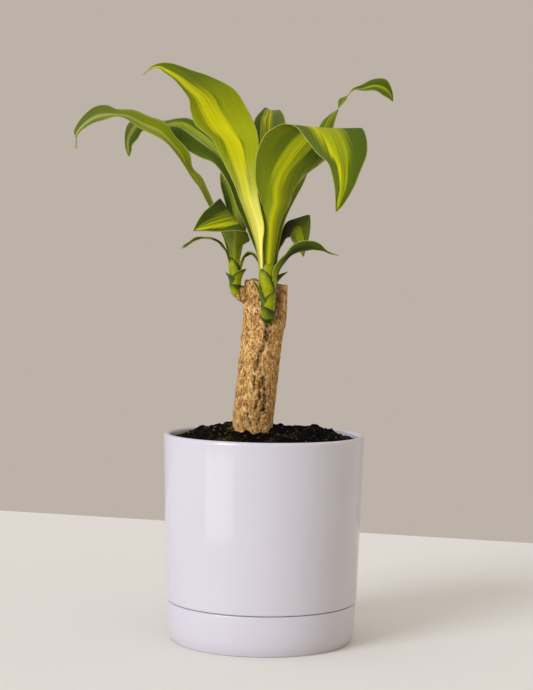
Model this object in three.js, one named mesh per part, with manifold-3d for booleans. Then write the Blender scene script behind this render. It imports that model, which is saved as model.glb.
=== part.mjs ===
// A potted corn plant: a cut cane with two leafy shoots, in a cylindrical ceramic pot on its saucer.
// Millimetres, +Z up. The origin is the centre of the saucer's flat foot, and the photo's view looks along +Y.
import * as THREE from "three";
import { mergeVertices } from "three/addons/utils/BufferGeometryUtils.js";
import Module from "manifold-3d";

const wasm = await Module();
wasm.setup();

// Pot and saucer
const roundSegments = 48;
const rimRadius = 90;
const rimHeight = 184.5;
const seamRadius = 85.3;
const seamHeight = 36.2;
const wallThickness = 5.3;
const nestRadius = 76; // the pot's narrower foot, which stands inside the saucer
const drainRadius = 9;
const potFloor = 6;
const saucerFloor = 8;
const saucerHeight = 35.4;
const saucerSideRadius = 84;
const footRadius = 80.5;
const touchGap = 0.4; // between pieces that touch each other

// Soil
const soilEdgeHeight = 179.5;
const soilMound = 10.8;
const soilFlatRadius = 46; // the mound is level inside this, and falls to the edge outside it
const soilLean = 0.13; // how steeply the mix falls from the cane towards the front
const soilDips = [
  { x: -12, y: -32, depth: 2.6, spread: 13 }, // before the cane
  { x: 22, y: 44, depth: 4.4, spread: 14 }, // behind it, on the right
  { x: -44, y: 20, depth: 2, spread: 9 },
];

// Cane: [x, y, z, radius] along its axis, from the root end to the sawn top
const caneStations = [
  [-11, 0, 92, 17.6],
  [-11, 0, 150, 18.6],
  [-11, 0, 178, 18.9],
  [-10.4, 0, 195, 18.6],
  [-8.6, 0, 214, 18.3],
  [-5.6, 0, 248, 18.5],
  [-3.6, 0, 271, 18.5],
  [-1.6, 0, 285, 19.4],
  [-1.1, 0, 301, 19.7],
  [-1.2, 0, 320, 19.6],
];
const caneTopSlope = -0.12; // the saw cut falls to the right
const barkRelief = 0.9;
const stubStations = [
  [-10, -2, 303, 9.5],
  [-17, -5, 306, 8.6],
  [-23, -8, 309.5, 7.2],
  [-27, -9.5, 312, 5.6],
];

// Shoot stems: [x, y, z, radius] from where they leave the bark to where the leaves part. The rim of a
// sheath is lowest on the side that it faces, in degrees round the stem, and rises to the far side.
const frontStemStations = [
  [1.6, -22, 283.5, 2.2],
  [1.4, -24.5, 287, 4.8],
  [1, -26, 293, 5.8],
  [0.4, -27, 303, 6.4],
  [0.2, -27, 316, 7.2],
  [0.6, -26.6, 326, 7.8],
  [1.2, -26, 333.2, 8],
  [1.2, -26, 336, 4.6],
];
const frontSheaths = [
  { height: 291, rise: 5, facing: -60, step: 0.9 },
  { height: 301, rise: 9, facing: -120, step: 1 },
  { height: 311, rise: 12, facing: -80, step: 1.1 },
  { height: 327, rise: 4, facing: -110, step: 0.7 },
];
const sideStemStations = [
  [-26.4, -10.5, 306.5, 1.8],
  [-27, -11, 309.5, 3.6],
  [-28, -11.2, 315, 4.6],
  [-28.2, -11.2, 322, 4.8],
  [-28.4, -11.2, 329, 5.2],
  [-28.6, -11, 333.2, 5.6],
  [-28.6, -11, 335.4, 3.2],
];
const sideSheaths = [
  { height: 311, rise: 4, facing: -60, step: 0.7 },
  { height: 317, rise: 6, facing: -95, step: 0.8 },
  { height: 326, rise: 4, facing: -120, step: 0.6 },
];

const rimDrop = 0.15; // how far above a sheath's rim the stem is thin again

// Leaves. A station is a point on one edge and the point across from it on the other edge, from the
// root to the tip. Seen from the leaf's upper face with the tip up, the first edge is the left one.
// gutter is how deep the midrib lies below the edges, as a share of the half width, at the root and
// beyond; fold is where the midrib lies across the blade there.
const bladeThickness = 1;
const scaleThickness = 1.2;
const bladeEnd = 0.985; // the tip is blunt by the rest
const gutterPower = 1.2; // near 1 the gutter is a V, at 2 it is round

const frontShootLeaves = {
  front_leaf_arching: {
    gutter: [0.55, 0.06],
    stations: [
      [5, -26, 331, -3, -27, 331],
      [8, -25, 355, -5, -27, 355],
      [12, -26, 375, -7, -28, 376],
      [18, -28, 389, -7, -31, 392],
      [25, -31, 402, -11, -36, 405],
      [34, -34, 414, -12, -41, 420],
      [47, -39, 424, -10, -46, 434],
      [58, -44, 434, -4, -52, 447],
      [67, -50, 444, 5, -58, 453],
      [75, -56, 451, 13, -64, 454],
      [80, -62, 451, 23, -70, 452],
      [83, -74, 441, 32, -78, 441],
      [82, -84, 428, 41, -87, 429],
      [76, -93, 413, 51, -94, 420],
      [71, -98, 400, 56, -99, 403],
      [63, -101, 386, 57, -102, 388],
      [57, -102, 379, 57, -102, 379],
    ],
  },
  front_leaf_tall: {
    gutter: [0.5, 0.14],
    fold: [0.5, 0.34],
    stations: [
      [-6, -31, 331, 0, -31, 331],
      [-10, -33, 351, -3, -33, 353],
      [-15, -33, 366, -3, -34, 369],
      [-21, -32, 382, -6.5, -33, 385],
      [-26, -30, 394, -9.8, -30, 396],
      [-30, -27, 405, -11, -25, 406],
      [-38, -22, 421, -10, -18, 422],
      [-50, -17, 444, -9, -9, 443],
      [-65, -14, 457, -11, -4, 458],
      [-70, -13, 470, -19, 0, 475],
      [-71, -12, 480, -31, 4, 492],
      [-76, -10, 488, -52, 7, 503],
      [-84, -6, 498, -69, 7, 508],
      [-95, -2, 506, -85, 6, 514],
      [-104, 0, 510, -99, 4, 513],
      [-114, 0, 503, -114, 0, 503],
    ],
  },
  front_leaf_twisted: {
    gutter: [0.55, 0.2],
    stations: [
      [7, -21, 331, 2, -20, 331],
      [11, -17, 356, 3, -17, 356],
      [17, -14, 375, 4, -14, 376],
      [25, -10, 392, 8, -10, 392],
      [31, -4, 408, 14, -4, 408],
      [37, 3, 423, 22, 4, 424],
      [46, 12, 439, 32, 13, 440],
      [55, 19, 452, 41, 21, 454],
      [59, 26, 465, 48, 29, 467],
      [61, 29, 474, 57, 35, 475],
      [62, 40, 480, 61, 36, 479],
      [64, 47, 487, 68, 42, 488],
      [71, 51, 493, 72, 48, 493],
      [76, 57, 500, 78, 53, 498],
      [85, 66, 505, 87, 56, 498],
      [96, 72, 511, 97, 60, 499],
      [108, 74, 511, 106, 64, 494],
      [114, 73, 500, 112, 67, 491],
      [115, 70, 490, 115, 70, 490],
    ],
  },
  front_leaf_rear: {
    gutter: [0.55, 0.24],
    stations: [
      [-2, -21, 331, 3, -21, 331],
      [-6, -15, 357, 7, -15, 357],
      [-9, -5, 386, 11, -5, 386],
      [-11, 6, 413, 13, 6, 413],
      [-14, 18, 439, 15, 18, 439],
      [-14, 30, 458, 17, 30, 459],
      [-12, 42, 470, 15, 42, 472],
      [-7, 55, 478, 11, 55, 478],
      [-4, 72, 481, 9, 72, 481],
      [-3, 90, 478, 9, 90, 477],
      [-1, 104, 465, 7, 104, 464],
      [2, 112, 446, 5, 112, 447],
      [4, 114, 432, 4, 114, 432],
    ],
  },
  front_leaf_left: {
    gutter: [0.5, 0.22],
    stations: [
      [-5, -25, 331, -2, -24, 331],
      [-15, -19, 352, -9, -17, 354],
      [-22, -12, 371, -14, -9, 374],
      [-28, -6, 387, -18, -1, 393],
      [-34, 0, 403, -26, 7, 411],
      [-42, 6, 417, -32, 14, 425],
      [-51, 12, 427, -41, 20, 439],
      [-62, 17, 431, -51, 26, 451],
      [-73, 21, 438, -62, 32, 461],
      [-81, 25, 446, -73, 35, 468],
      [-88, 29, 455, -84, 37, 468],
      [-100, 33, 454, -96, 39, 466],
      [-109, 36, 454, -109, 41, 467],
      [-116, 38, 456, -121, 44, 469],
      [-120, 39, 449, -130, 46, 463],
      [-125, 40, 443, -133, 46, 453],
      [-126, 41, 438, -132, 45, 440],
      [-128, 43, 432, -128, 43, 432],
    ],
  },
  front_leaf_folded: {
    gutter: [0.4, 0.08],
    stations: [
      [3, -21, 331, 6, -23, 330],
      [6, -20, 338, 9, -22, 334],
      [8, -14, 350, 11, -19, 347],
      [11, -8, 360, 15, -16, 355],
      [16, -3, 373, 17, -13, 359],
      [26, 2, 378, 19, -11, 360],
      [36, 5, 381, 20, -10, 360],
      [38, 1, 378, 22, -12, 356],
      [38, -3, 368, 26, -14, 351],
      [36, -7, 357, 29, -15, 347],
      [32, -13, 342, 32, -13, 342],
    ],
  },
  front_leaf_small: {
    gutter: [0.5, 0.35],
    stations: [
      [6, -30, 315, 1, -32, 317],
      [9, -33, 321, 3, -36, 323],
      [10, -33, 330, 4, -37, 332],
      [15, -34, 337, 9, -39, 339],
      [20, -35, 343, 14, -41, 344],
      [28, -36, 347, 20, -42, 352],
      [35, -37, 348, 28, -42, 356],
      [41, -37, 349, 37, -42, 357],
      [48, -38, 348, 46, -42, 354],
      [54, -38, 346, 53, -40, 348],
      [63, -38, 344, 63, -38, 344],
    ],
  },
};

const sideShootLeaves = {
  side_leaf_long: {
    gutter: [0.6, 0.22],
    stations: [
      [-32, -10, 331, -28, -10, 331],
      [-37, -8, 352, -32, -4, 353],
      [-42, -5, 365, -37, 0, 367],
      [-48, -2, 378, -44, 4, 380],
      [-54, 1, 389, -49, 7, 390],
      [-62, 3, 403, -55, 10, 404],
      [-68, 4, 411, -60, 12, 414],
      [-74, 5, 421, -69, 14, 422],
      [-82, 6, 431, -72, 15, 436],
      [-93, 7, 443, -84, 16, 450],
      [-104, 7, 450, -94, 18, 463],
      [-116, 7, 456, -108, 18, 467],
      [-128, 7, 463, -123, 18, 473],
      [-138, 6, 465, -137, 17, 474],
      [-149, 4, 462, -147, 15, 477],
      [-158, 3, 459, -158, 13, 474],
      [-167, 2, 452, -169, 10, 464],
      [-171, 1, 446, -175, 6, 453],
      [-173, 1, 442, -174, 3, 445],
      [-173, 0, 435, -173, 0, 435],
    ],
  },
  side_leaf_folded: {
    gutter: [0.5, 0.06],
    stations: [
      [-26, -13, 331, -31, -13, 331],
      [-24, -13, 346, -33, -13, 346],
      [-22, -12, 352, -36, -12, 355],
      [-16, -12, 356, -40, -12, 365],
      [-16, -15, 359, -42, -14, 379],
      [-17, -19, 361, -42, -17, 389],
      [-19, -24, 364, -42, -21, 393],
      [-22, -31, 364, -45, -27, 391],
      [-31, -38, 364, -50, -33, 386],
      [-43, -43, 363, -56, -39, 380],
      [-54, -46, 363, -61, -43, 372],
      [-65, -45, 363, -65, -45, 363],
    ],
  },
  side_leaf_upright: {
    gutter: [0.5, 0.2],
    stations: [
      [-31, -9, 331, -26, -9, 331],
      [-33, -3, 352, -22, -3, 352],
      [-36, 2, 370, -19, 0, 370],
      [-37, 6, 383, -22, 3, 384],
      [-40, 8, 394, -25, 6, 396],
      [-43, 10, 405, -32, 8, 405],
      [-44, 12, 413, -39, 10, 413],
      [-43, 13, 419, -43, 13, 419],
    ],
  },
  side_leaf_thin: {
    gutter: [0.5, 0.35],
    stations: [
      [-31, -13, 330, -28, -12, 331],
      [-36, -17, 346, -31, -13, 344],
      [-40, -19, 351, -36, -15, 349],
      [-45, -21, 355, -42, -16, 356],
      [-52, -23, 358, -53, -17, 359],
      [-62, -25, 356, -62, -19, 359],
      [-68, -25, 352, -69, -20, 355],
      [-73, -24, 349, -74, -22, 351],
      [-76, -23, 348, -76, -23, 348],
    ],
  },
  side_leaf_small: {
    gutter: [0.5, 0.35],
    stations: [
      [-25, -12, 325, -28, -12, 326],
      [-23, -13, 330, -26, -13, 331],
      [-21, -13, 338, -24, -14, 338],
      [-19, -13, 342, -21, -16, 344],
      [-15, -15, 344, -17, -18, 347],
      [-12, -17, 343, -12, -20, 346],
      [-10, -19, 340, -8, -21, 342],
      [-8, -20, 337, -7, -21, 337],
      [-7, -21, 332, -7, -21, 332],
    ],
  },
};

// Dry scale leaves, fused to the stems that they clasp
const frontScales = [
  {
    gutter: [0.4, 0.3],
    stations: [
      [-3, -31, 305, -6, -26, 305],
      [-5, -31.5, 311, -7.5, -27, 312],
      [-8, -31, 316, -9.5, -28, 317],
      [-11.5, -30, 321, -11.5, -30, 321],
    ],
  },
  {
    gutter: [0.4, 0.3],
    stations: [
      [6, -24, 315, 5, -30, 313],
      [8.5, -25, 322, 8.5, -30, 319],
      [12, -26, 326.5, 12.5, -29, 323.5],
      [19, -28, 329, 19, -28, 329],
    ],
  },
];
const sideScales = [
  {
    gutter: [0.4, 0.3],
    stations: [
      [-29, -15, 316, -32, -11, 318],
      [-31.5, -15.5, 320.5, -33.5, -12, 322.5],
      [-36.5, -14, 328.5, -36.5, -14, 328.5],
    ],
  },
  {
    gutter: [0.4, 0.3],
    stations: [
      [-24, -11, 320, -27, -15, 318],
      [-22.5, -12.5, 325.5, -24.5, -15.5, 323],
      [-18.5, -14, 331.5, -18.5, -14, 331.5],
    ],
  },
];

const finishes = {
  glaze: { color: 0xe2dde6, roughness: 0.15, metalness: 0 },
  soil: { color: 0x1c140e, roughness: 0.95, metalness: 0 },
  bark: { color: 0xb07f48, roughness: 0.85, metalness: 0 },
  sheath: { color: 0x7f9628, roughness: 0.5, metalness: 0 },
  leaf: { color: 0x86a016, roughness: 0.4, metalness: 0 },
};

const plant = new THREE.Group();

// Takes a closed geometry's triangles, with shared vertices merged, into a solid.
function solidOf(geometry) {
  const bare = geometry.clone();
  bare.deleteAttribute("normal");
  bare.deleteAttribute("uv");
  const merged = mergeVertices(bare, 1e-4);
  const index = merged.index.array;
  const kept = [];
  for (let i = 0; i < index.length; i += 3) {
    const [a, b, c] = [index[i], index[i + 1], index[i + 2]];
    if (a !== b && b !== c && c !== a) kept.push(a, b, c);
  }
  return new wasm.Manifold(
    new wasm.Mesh({
      numProp: 3,
      vertProperties: new Float32Array(merged.attributes.position.array),
      triVerts: new Uint32Array(kept),
    }),
  );
}

function geometryOf(solid) {
  const { vertProperties, triVerts } = solid.getMesh();
  const geometry = new THREE.BufferGeometry();
  geometry.setAttribute("position", new THREE.BufferAttribute(vertProperties, 3));
  geometry.setIndex(new THREE.BufferAttribute(triVerts, 1));
  geometry.computeVertexNormals();
  return geometry;
}

function addPiece(name, solid, finish) {
  const mesh = new THREE.Mesh(geometryOf(solid), new THREE.MeshStandardMaterial(finishes[finish]));
  mesh.name = name;
  plant.add(mesh);
}

function largestOf(solid) {
  return solid.decompose().reduce((best, body) => (body.volume() > best.volume() ? body : best));
}

// Spins a profile of [radius, height] points round the Z axis.
function spun(profile, segments = roundSegments) {
  const points = profile.map(([radius, height]) => new THREE.Vector2(radius, height));
  return new THREE.LatheGeometry(points, segments).rotateX(Math.PI / 2);
}

// A closed skin over rings of points, with a fan to a centre point at each end.
function skinned(rings, firstCentre, lastCentre) {
  const around = rings[0].length;
  const points = rings.flat();
  const first = points.push(firstCentre) - 1;
  const last = points.push(lastCentre) - 1;
  const end = (rings.length - 1) * around;
  const index = [];
  for (let i = 0; i < around; i++) {
    const next = (i + 1) % around;
    for (let r = 0; r < rings.length - 1; r++) {
      const a = r * around + i;
      const b = r * around + next;
      index.push(a, b, b + around, a, b + around, a + around);
    }
    index.push(first, next, i, last, end + i, end + next);
  }
  const geometry = new THREE.BufferGeometry();
  geometry.setAttribute("position", new THREE.Float32BufferAttribute(points.flat(), 3));
  geometry.setIndex(index);
  return geometry;
}

// Reads [x, y, z, radius] at a share of the way along a list of such stations.
function alongStations(stations) {
  const axis = new THREE.CatmullRomCurve3(stations.map(([x, y, z]) => new THREE.Vector3(x, y, z)));
  return (share) => {
    const place = share * (stations.length - 1);
    const low = Math.min(Math.floor(place), stations.length - 2);
    const radius = THREE.MathUtils.lerp(stations[low][3], stations[low + 1][3], place - low);
    return { centre: axis.getPoint(share), radius };
  };
}

function ringPoint(centre, radius, angle, height = centre.z) {
  return [centre.x + radius * Math.cos(angle), centre.y + radius * Math.sin(angle), height];
}

function angles(count) {
  return Array.from({ length: count }, (_, i) => (i / count) * 2 * Math.PI);
}

function makeSaucer() {
  const profile = [
    [0, 0],
    [footRadius, 0],
    [footRadius + 0.6, 1.8],
    [footRadius + 2.2, 4.2],
    [footRadius + 3.1, 8],
    [saucerSideRadius, 13],
    [seamRadius - 0.5, saucerHeight - 1.6],
    [seamRadius - 1.2, saucerHeight - 0.3],
    [seamRadius - 2.4, saucerHeight],
    [seamRadius - 4, saucerHeight - 0.6],
    [seamRadius - 4.6, saucerHeight - 2],
    [seamRadius - 5.2, saucerFloor + 4],
    [seamRadius - 8, saucerFloor],
    [0, saucerFloor],
  ];
  return solidOf(spun(profile));
}

// The inside of the pot, from the middle of its floor to just under the lip.
const potInside = [
  [drainRadius, saucerFloor + touchGap + potFloor],
  [nestRadius - 9, saucerFloor + touchGap + potFloor],
  [nestRadius - 6, saucerFloor + touchGap + potFloor + 3],
  [nestRadius - wallThickness, seamHeight - 4],
  [seamRadius - wallThickness, seamHeight + 7],
  [rimRadius - wallThickness, rimHeight - 3],
];

function makePot() {
  const under = saucerFloor + touchGap;
  const outside = [
    [drainRadius, under],
    [nestRadius - 5, under],
    [nestRadius - 1.4, under + 1.6],
    [nestRadius, under + 5],
    [nestRadius, seamHeight - 2],
    [nestRadius + 3, seamHeight],
    [seamRadius - 2.2, seamHeight],
    [seamRadius - 0.7, seamHeight + 0.9],
    [seamRadius, seamHeight + 3],
    [rimRadius, rimHeight - 3.4],
    [rimRadius - 0.4, rimHeight - 1.4],
    [rimRadius - 1.6, rimHeight - 0.3],
    [rimRadius - wallThickness / 2, rimHeight],
    [rimRadius - wallThickness + 1.2, rimHeight - 0.5],
  ];
  return solidOf(spun([...outside, ...[...potInside].reverse(), outside[0]]));
}

// Lumps on the soil, in millimetres above its plain mound.
function soilLumps(x, y) {
  const coarse = Math.sin(x * 0.21 + 1.3) * Math.cos(y * 0.19 - 0.4);
  const fine = Math.sin(x * 0.47 - y * 0.31) * Math.cos(y * 0.53 + x * 0.12 + 2);
  return 1.5 * coarse + 1.1 * fine;
}

function soilHeight(x, y) {
  const fromMiddle = Math.hypot(x, y);
  const rise = 1 - THREE.MathUtils.smoothstep(fromMiddle, soilFlatRadius, potInside.at(-1)[0]);
  let heap = soilMound + soilLean * Math.min(y, 0);
  for (const dip of soilDips) {
    const away = Math.hypot(x - dip.x, y - dip.y) / dip.spread;
    heap -= dip.depth * Math.exp(-0.5 * away * away);
  }
  return soilEdgeHeight + rise * heap + (0.35 + 0.65 * rise) * soilLumps(x, y);
}

function makeSoil(cane) {
  const rings = [79, 73, 67, 61, 55, 49, 42, 34, 26, 14, 0];
  const edge = soilEdgeHeight - 8;
  const bottom = potInside[0][1] + touchGap;
  const side = potInside.slice(1, -1).map(([radius, height]) => [radius - touchGap, height + touchGap]);
  const lastSlope = (rimRadius - seamRadius) / (rimHeight - 3 - (seamHeight + 7));
  const edgeRadius = seamRadius - wallThickness + lastSlope * (edge - seamHeight - 7) - touchGap;
  const profile = [[0, bottom], ...side, [edgeRadius, edge], [edgeRadius, soilEdgeHeight]];
  const lathe = spun([...profile, ...rings.map((radius) => [radius, soilEdgeHeight])]);
  const spots = lathe.attributes.position;
  for (let i = 0; i < spots.count; i++) {
    if (spots.getZ(i) > soilEdgeHeight - 0.01) {
      spots.setZ(i, soilHeight(spots.getX(i), spots.getY(i)));
    }
  }
  return solidOf(lathe).subtract(cane);
}

// Ridges that run up the bark, wandering a little.
function barkRidge(angle, height) {
  return (
    0.5 * Math.sin(5 * angle + height * 0.021) +
    0.4 * Math.sin(9 * angle - height * 0.033 + 1) +
    0.5 * Math.sin(2 * angle + height * 0.07) * Math.sin(height * 0.11)
  );
}

function makeCane(extra = 0) {
  const along = alongStations(caneStations);
  const ringCount = 22;
  const rings = [];
  const topHeight = caneStations.at(-1)[2];
  for (let r = 0; r <= ringCount; r++) {
    const share = r / ringCount;
    const { centre, radius } = along(share);
    rings.push(
      angles(26).map((angle) => {
        const bark = radius + barkRelief * barkRidge(angle, centre.z) + extra;
        const cut = centre.z - topHeight + caneTopSlope * radius * Math.cos(angle);
        return ringPoint(centre, bark, angle, share > 0.97 ? topHeight + cut : centre.z);
      }),
    );
  }
  const foot = along(0).centre;
  const head = along(1).centre;
  const trunk = skinned(rings, [foot.x, foot.y, foot.z - extra], [head.x, head.y, head.z + extra]);
  return solidOf(trunk).add(makeStub(extra));
}

function makeStub(extra) {
  const curve = stubStations.map(([x, y, z]) => new THREE.Vector3(x, y, z));
  const direction = curve.at(-1).clone().sub(curve[0]).normalize();
  const across = new THREE.Vector3(0, 1, 0).cross(direction).normalize();
  const other = direction.clone().cross(across);
  const rings = curve.map((centre, i) =>
    angles(14).map((angle) => {
      const radius = stubStations[i][3] + 0.5 * Math.sin(4 * angle + i) + extra;
      const spot = centre.clone().addScaledVector(across, radius * Math.cos(angle));
      return spot.addScaledVector(other, radius * Math.sin(angle)).toArray();
    }),
  );
  const cap = curve.at(-1).clone().addScaledVector(direction, 1.5 + extra);
  return solidOf(skinned(rings, curve[0].toArray(), cap.toArray()));
}

// A shoot's stem wrapped in sheaths: each one flares to its slanting rim, where the stem steps in.
function makeStem(stations, sheaths, extra = 0) {
  const along = alongStations(stations);
  const bottom = stations[0][2];
  const top = stations.at(-1)[2];
  const rims = [
    { height: bottom, rise: 0, facing: 0, step: 0 },
    ...sheaths,
    { height: top, rise: 0, facing: 0, step: 0 },
  ];
  const rimHeightAt = ({ height, rise, facing }, angle) =>
    height + (rise * (1 - Math.cos(angle - THREE.MathUtils.degToRad(facing)))) / 2;
  const ring = (heightAt, swell) =>
    angles(18).map((angle) => {
      const height = Math.min(heightAt(angle), top);
      const { centre, radius } = along(shareAtHeight(stations, (height - bottom) / (top - bottom)));
      return ringPoint(centre, radius + swell + extra, angle, height + (height > bottom ? extra : 0));
    });
  const rings = [ring(() => bottom, 0)];
  for (let i = 1; i < rims.length; i++) {
    for (const share of [0.35, 0.7, 1]) {
      const heightAt = (angle) =>
        THREE.MathUtils.lerp(rimHeightAt(rims[i - 1], angle), rimHeightAt(rims[i], angle), share);
      rings.push(ring(heightAt, rims[i].step * share));
    }
    if (rims[i].step > 0) rings.push(ring((angle) => rimHeightAt(rims[i], angle) + rimDrop, 0));
  }
  const foot = along(0).centre;
  const head = along(1).centre;
  const headCentre = [head.x, head.y, head.z + extra];
  return solidOf(skinned(rings, [foot.x, foot.y, foot.z - 0.8 - extra], headCentre));
}

// Where along the stations a share of the total height lies.
function shareAtHeight(stations, share) {
  const bottom = stations[0][2];
  const height = bottom + share * (stations.at(-1)[2] - bottom);
  const above = stations.findIndex(([, , z]) => z >= height);
  if (above <= 0) return above === 0 ? 0 : 1;
  const low = stations[above - 1][2];
  return (above - 1 + (height - low) / (stations[above][2] - low)) / (stations.length - 1);
}

// Points over a leaf's blade, row by row from root to tip, between its two edges.
function bladePoints({ stations, gutter, fold = [0.5, 0.5] }, rowCount, columnCount, widen) {
  const edge = (at) =>
    new THREE.CatmullRomCurve3(
      stations.map((station) => new THREE.Vector3(...station.slice(at, at + 3))),
      false,
      "catmullrom",
      0.5,
    );
  const [left, right] = [edge(0), edge(3)];
  const middle = (t) => left.getPoint(t).lerp(right.getPoint(t), 0.5);
  const spots = Array.from({ length: rowCount + 1 }, (_, row) => (row / rowCount) * bladeEnd);
  return spots.map((t) => {
    const [a, b] = [left.getPoint(t), right.getPoint(t)];
    const across = b.clone().sub(a);
    const width = across.length();
    across.normalize();
    const ahead = middle(Math.min(1, t + 0.01)).sub(middle(Math.max(0, t - 0.01)));
    const upper = across.clone().cross(ahead).normalize();
    const later = THREE.MathUtils.smoothstep(t, 0.05, 0.4);
    const depth = (THREE.MathUtils.lerp(gutter[0], gutter[1], later) * width) / 2;
    const rib = THREE.MathUtils.lerp(fold[0], fold[1], THREE.MathUtils.smoothstep(t, 0.4, 0.7));
    return Array.from({ length: columnCount + 1 }, (_, column) => {
      const share = (2 * column) / columnCount - 1;
      const along = share < 0 ? rib * (1 + share) : rib + (1 - rib) * share;
      const sag = depth * (1 - Math.pow(Math.abs(share), gutterPower));
      return a
        .clone()
        .addScaledVector(across, along * width + widen * Math.sign(share))
        .addScaledVector(upper, -sag);
    });
  });
}

// A thin closed blade, split into triangles alike on both faces.
function makeBlade(leaf, { rows, columns = 4, thickness = bladeThickness, grow = 0 }) {
  const grid = bladePoints(leaf, rows, columns, grow);
  const stride = columns + 1;
  const points = [];
  for (const side of [1, -1]) {
    grid.forEach((line, row) =>
      line.forEach((spot, column) => {
        const next = grid[Math.min(rows, row + 1)][column];
        const before = grid[Math.max(0, row - 1)][column];
        const across = line[Math.min(columns, column + 1)].clone().sub(line[Math.max(0, column - 1)]);
        const face = across.cross(next.clone().sub(before)).normalize();
        const thin = row === rows ? 0.7 : 1;
        const half = (thickness / 2) * thin + grow;
        points.push(spot.clone().addScaledVector(face, side * half).toArray());
      }),
    );
  }
  const under = points.length / 2;
  const index = [];
  const quad = (a, b, c, d) => index.push(a, b, c, a, c, d);
  for (let row = 0; row < rows; row++) {
    for (let column = 0; column < columns; column++) {
      const a = row * stride + column;
      const c = a + stride + 1;
      quad(a, a + 1, c, c - 1);
      index.push(under + a, under + c, under + a + 1, under + a, under + c - 1, under + c);
    }
    const a = row * stride;
    const b = a + columns;
    quad(a, a + stride, under + a + stride, under + a);
    quad(b + stride, b, under + b, under + b + stride);
  }
  for (let column = 0; column < columns; column++) {
    const end = rows * stride + column;
    quad(column + 1, column, under + column, under + column + 1);
    quad(end, end + 1, under + end + 1, under + end);
  }
  const geometry = new THREE.BufferGeometry();
  geometry.setAttribute("position", new THREE.Float32BufferAttribute(points.flat(), 3));
  geometry.setIndex(index);
  return solidOf(geometry);
}

function withScales(stem, scales, grow = 0) {
  return scales.reduce(
    (whole, scale) => whole.add(makeBlade(scale, { rows: 6, columns: 2, thickness: scaleThickness, grow })),
    stem,
  );
}

addPiece("saucer", makeSaucer(), "glaze");
addPiece("pot", makePot(), "glaze");
const caneRoom = makeCane(touchGap);
addPiece("soil", makeSoil(caneRoom), "soil");
addPiece("cane", makeCane(), "bark");

const frontStem = withScales(makeStem(frontStemStations, frontSheaths), frontScales);
addPiece("front_shoot_stem", largestOf(frontStem.subtract(caneRoom)), "sheath");
const sideStem = withScales(makeStem(sideStemStations, sideSheaths), sideScales);
addPiece("side_shoot_stem", largestOf(sideStem.subtract(caneRoom)), "sheath");

// Each leaf keeps clear of the stems, the cane and the leaves before it.
const taken = [
  caneRoom,
  withScales(makeStem(frontStemStations, frontSheaths, touchGap), frontScales, touchGap),
  withScales(makeStem(sideStemStations, sideSheaths, touchGap), sideScales, touchGap),
];
for (const [name, leaf] of Object.entries({ ...frontShootLeaves, ...sideShootLeaves })) {
  const rows = leaf.stations.length > 12 ? 26 : 16;
  const clear = taken.reduce((blade, other) => blade.subtract(other), makeBlade(leaf, { rows }));
  addPiece(name, largestOf(clear), "leaf");
  taken.push(makeBlade(leaf, { rows, grow: touchGap }));
}

export default plant;
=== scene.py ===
import math
import random

import bmesh
import bpy
from mathutils import Matrix, Vector, noise


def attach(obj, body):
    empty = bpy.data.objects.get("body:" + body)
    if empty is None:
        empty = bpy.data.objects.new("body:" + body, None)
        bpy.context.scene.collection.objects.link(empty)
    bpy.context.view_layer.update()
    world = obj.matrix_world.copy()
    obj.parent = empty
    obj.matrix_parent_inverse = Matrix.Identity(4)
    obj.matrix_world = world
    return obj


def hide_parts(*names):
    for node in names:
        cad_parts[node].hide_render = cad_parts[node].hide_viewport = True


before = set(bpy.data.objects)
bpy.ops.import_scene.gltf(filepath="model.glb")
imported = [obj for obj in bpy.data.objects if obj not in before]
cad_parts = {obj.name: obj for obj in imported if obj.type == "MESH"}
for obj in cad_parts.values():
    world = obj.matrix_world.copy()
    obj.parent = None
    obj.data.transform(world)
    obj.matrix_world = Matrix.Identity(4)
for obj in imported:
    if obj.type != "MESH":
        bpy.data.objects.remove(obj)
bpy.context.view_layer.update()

mm = 0.001
weld = 1e-6  # metres: points that lie closer than this are one
draw = random.Random(7)


# Camera, light and floor, in millimetres and degrees
camera = {
    "place": (0.7, -1500, 321),
    "pitch": 2.18,  # degrees below the horizon
    "roll": 1.0,
    "lens": 87.55,
    "sensor": 36,
    "nearest": 50,
    "farthest": 50000,
}
light = {
    "wall": "#bcb2a8",
    "sunHeading": 46,  # degrees from +X towards +Y, the way its rays travel
    "sunHeight": 18.5,
    "sunSpread": 30,
    "sunStrength": 2.85,
    "sunColour": "#e6eaff",
    "skyStrength": 0.75,
    "skySpread": 100,
    "skyColour": "#e0edff",
    "fillHeading": 205,
    "fillDrop": 0.1,  # how far its rays fall for each unit that they go
    "fillSpread": 60,
    "fillStrength": 0.44,
    "boxPlace": (-358, -329, 82),  # a small softbox, seen only as the streak on the glaze
    "boxSize": (280, 158),
    "boxPower": 0.2,
}
floor = {
    "colour": "#e8e4da",
    "halfWidth": 3000,
    "backEdge": ((-364, 794), (331, 585)),  # two points on its far edge
}


# A noise scale that gives grains of about this size in millimetres.
def grainsOf(size):
    return 1 / (size * mm)


def linear(hexColour):
    channels = [int(hexColour[i : i + 2], 16) / 255 for i in (1, 3, 5)]
    return [c / 12.92 if c <= 0.04045 else ((c + 0.055) / 1.055) ** 2.4 for c in channels] + [1]


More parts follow.
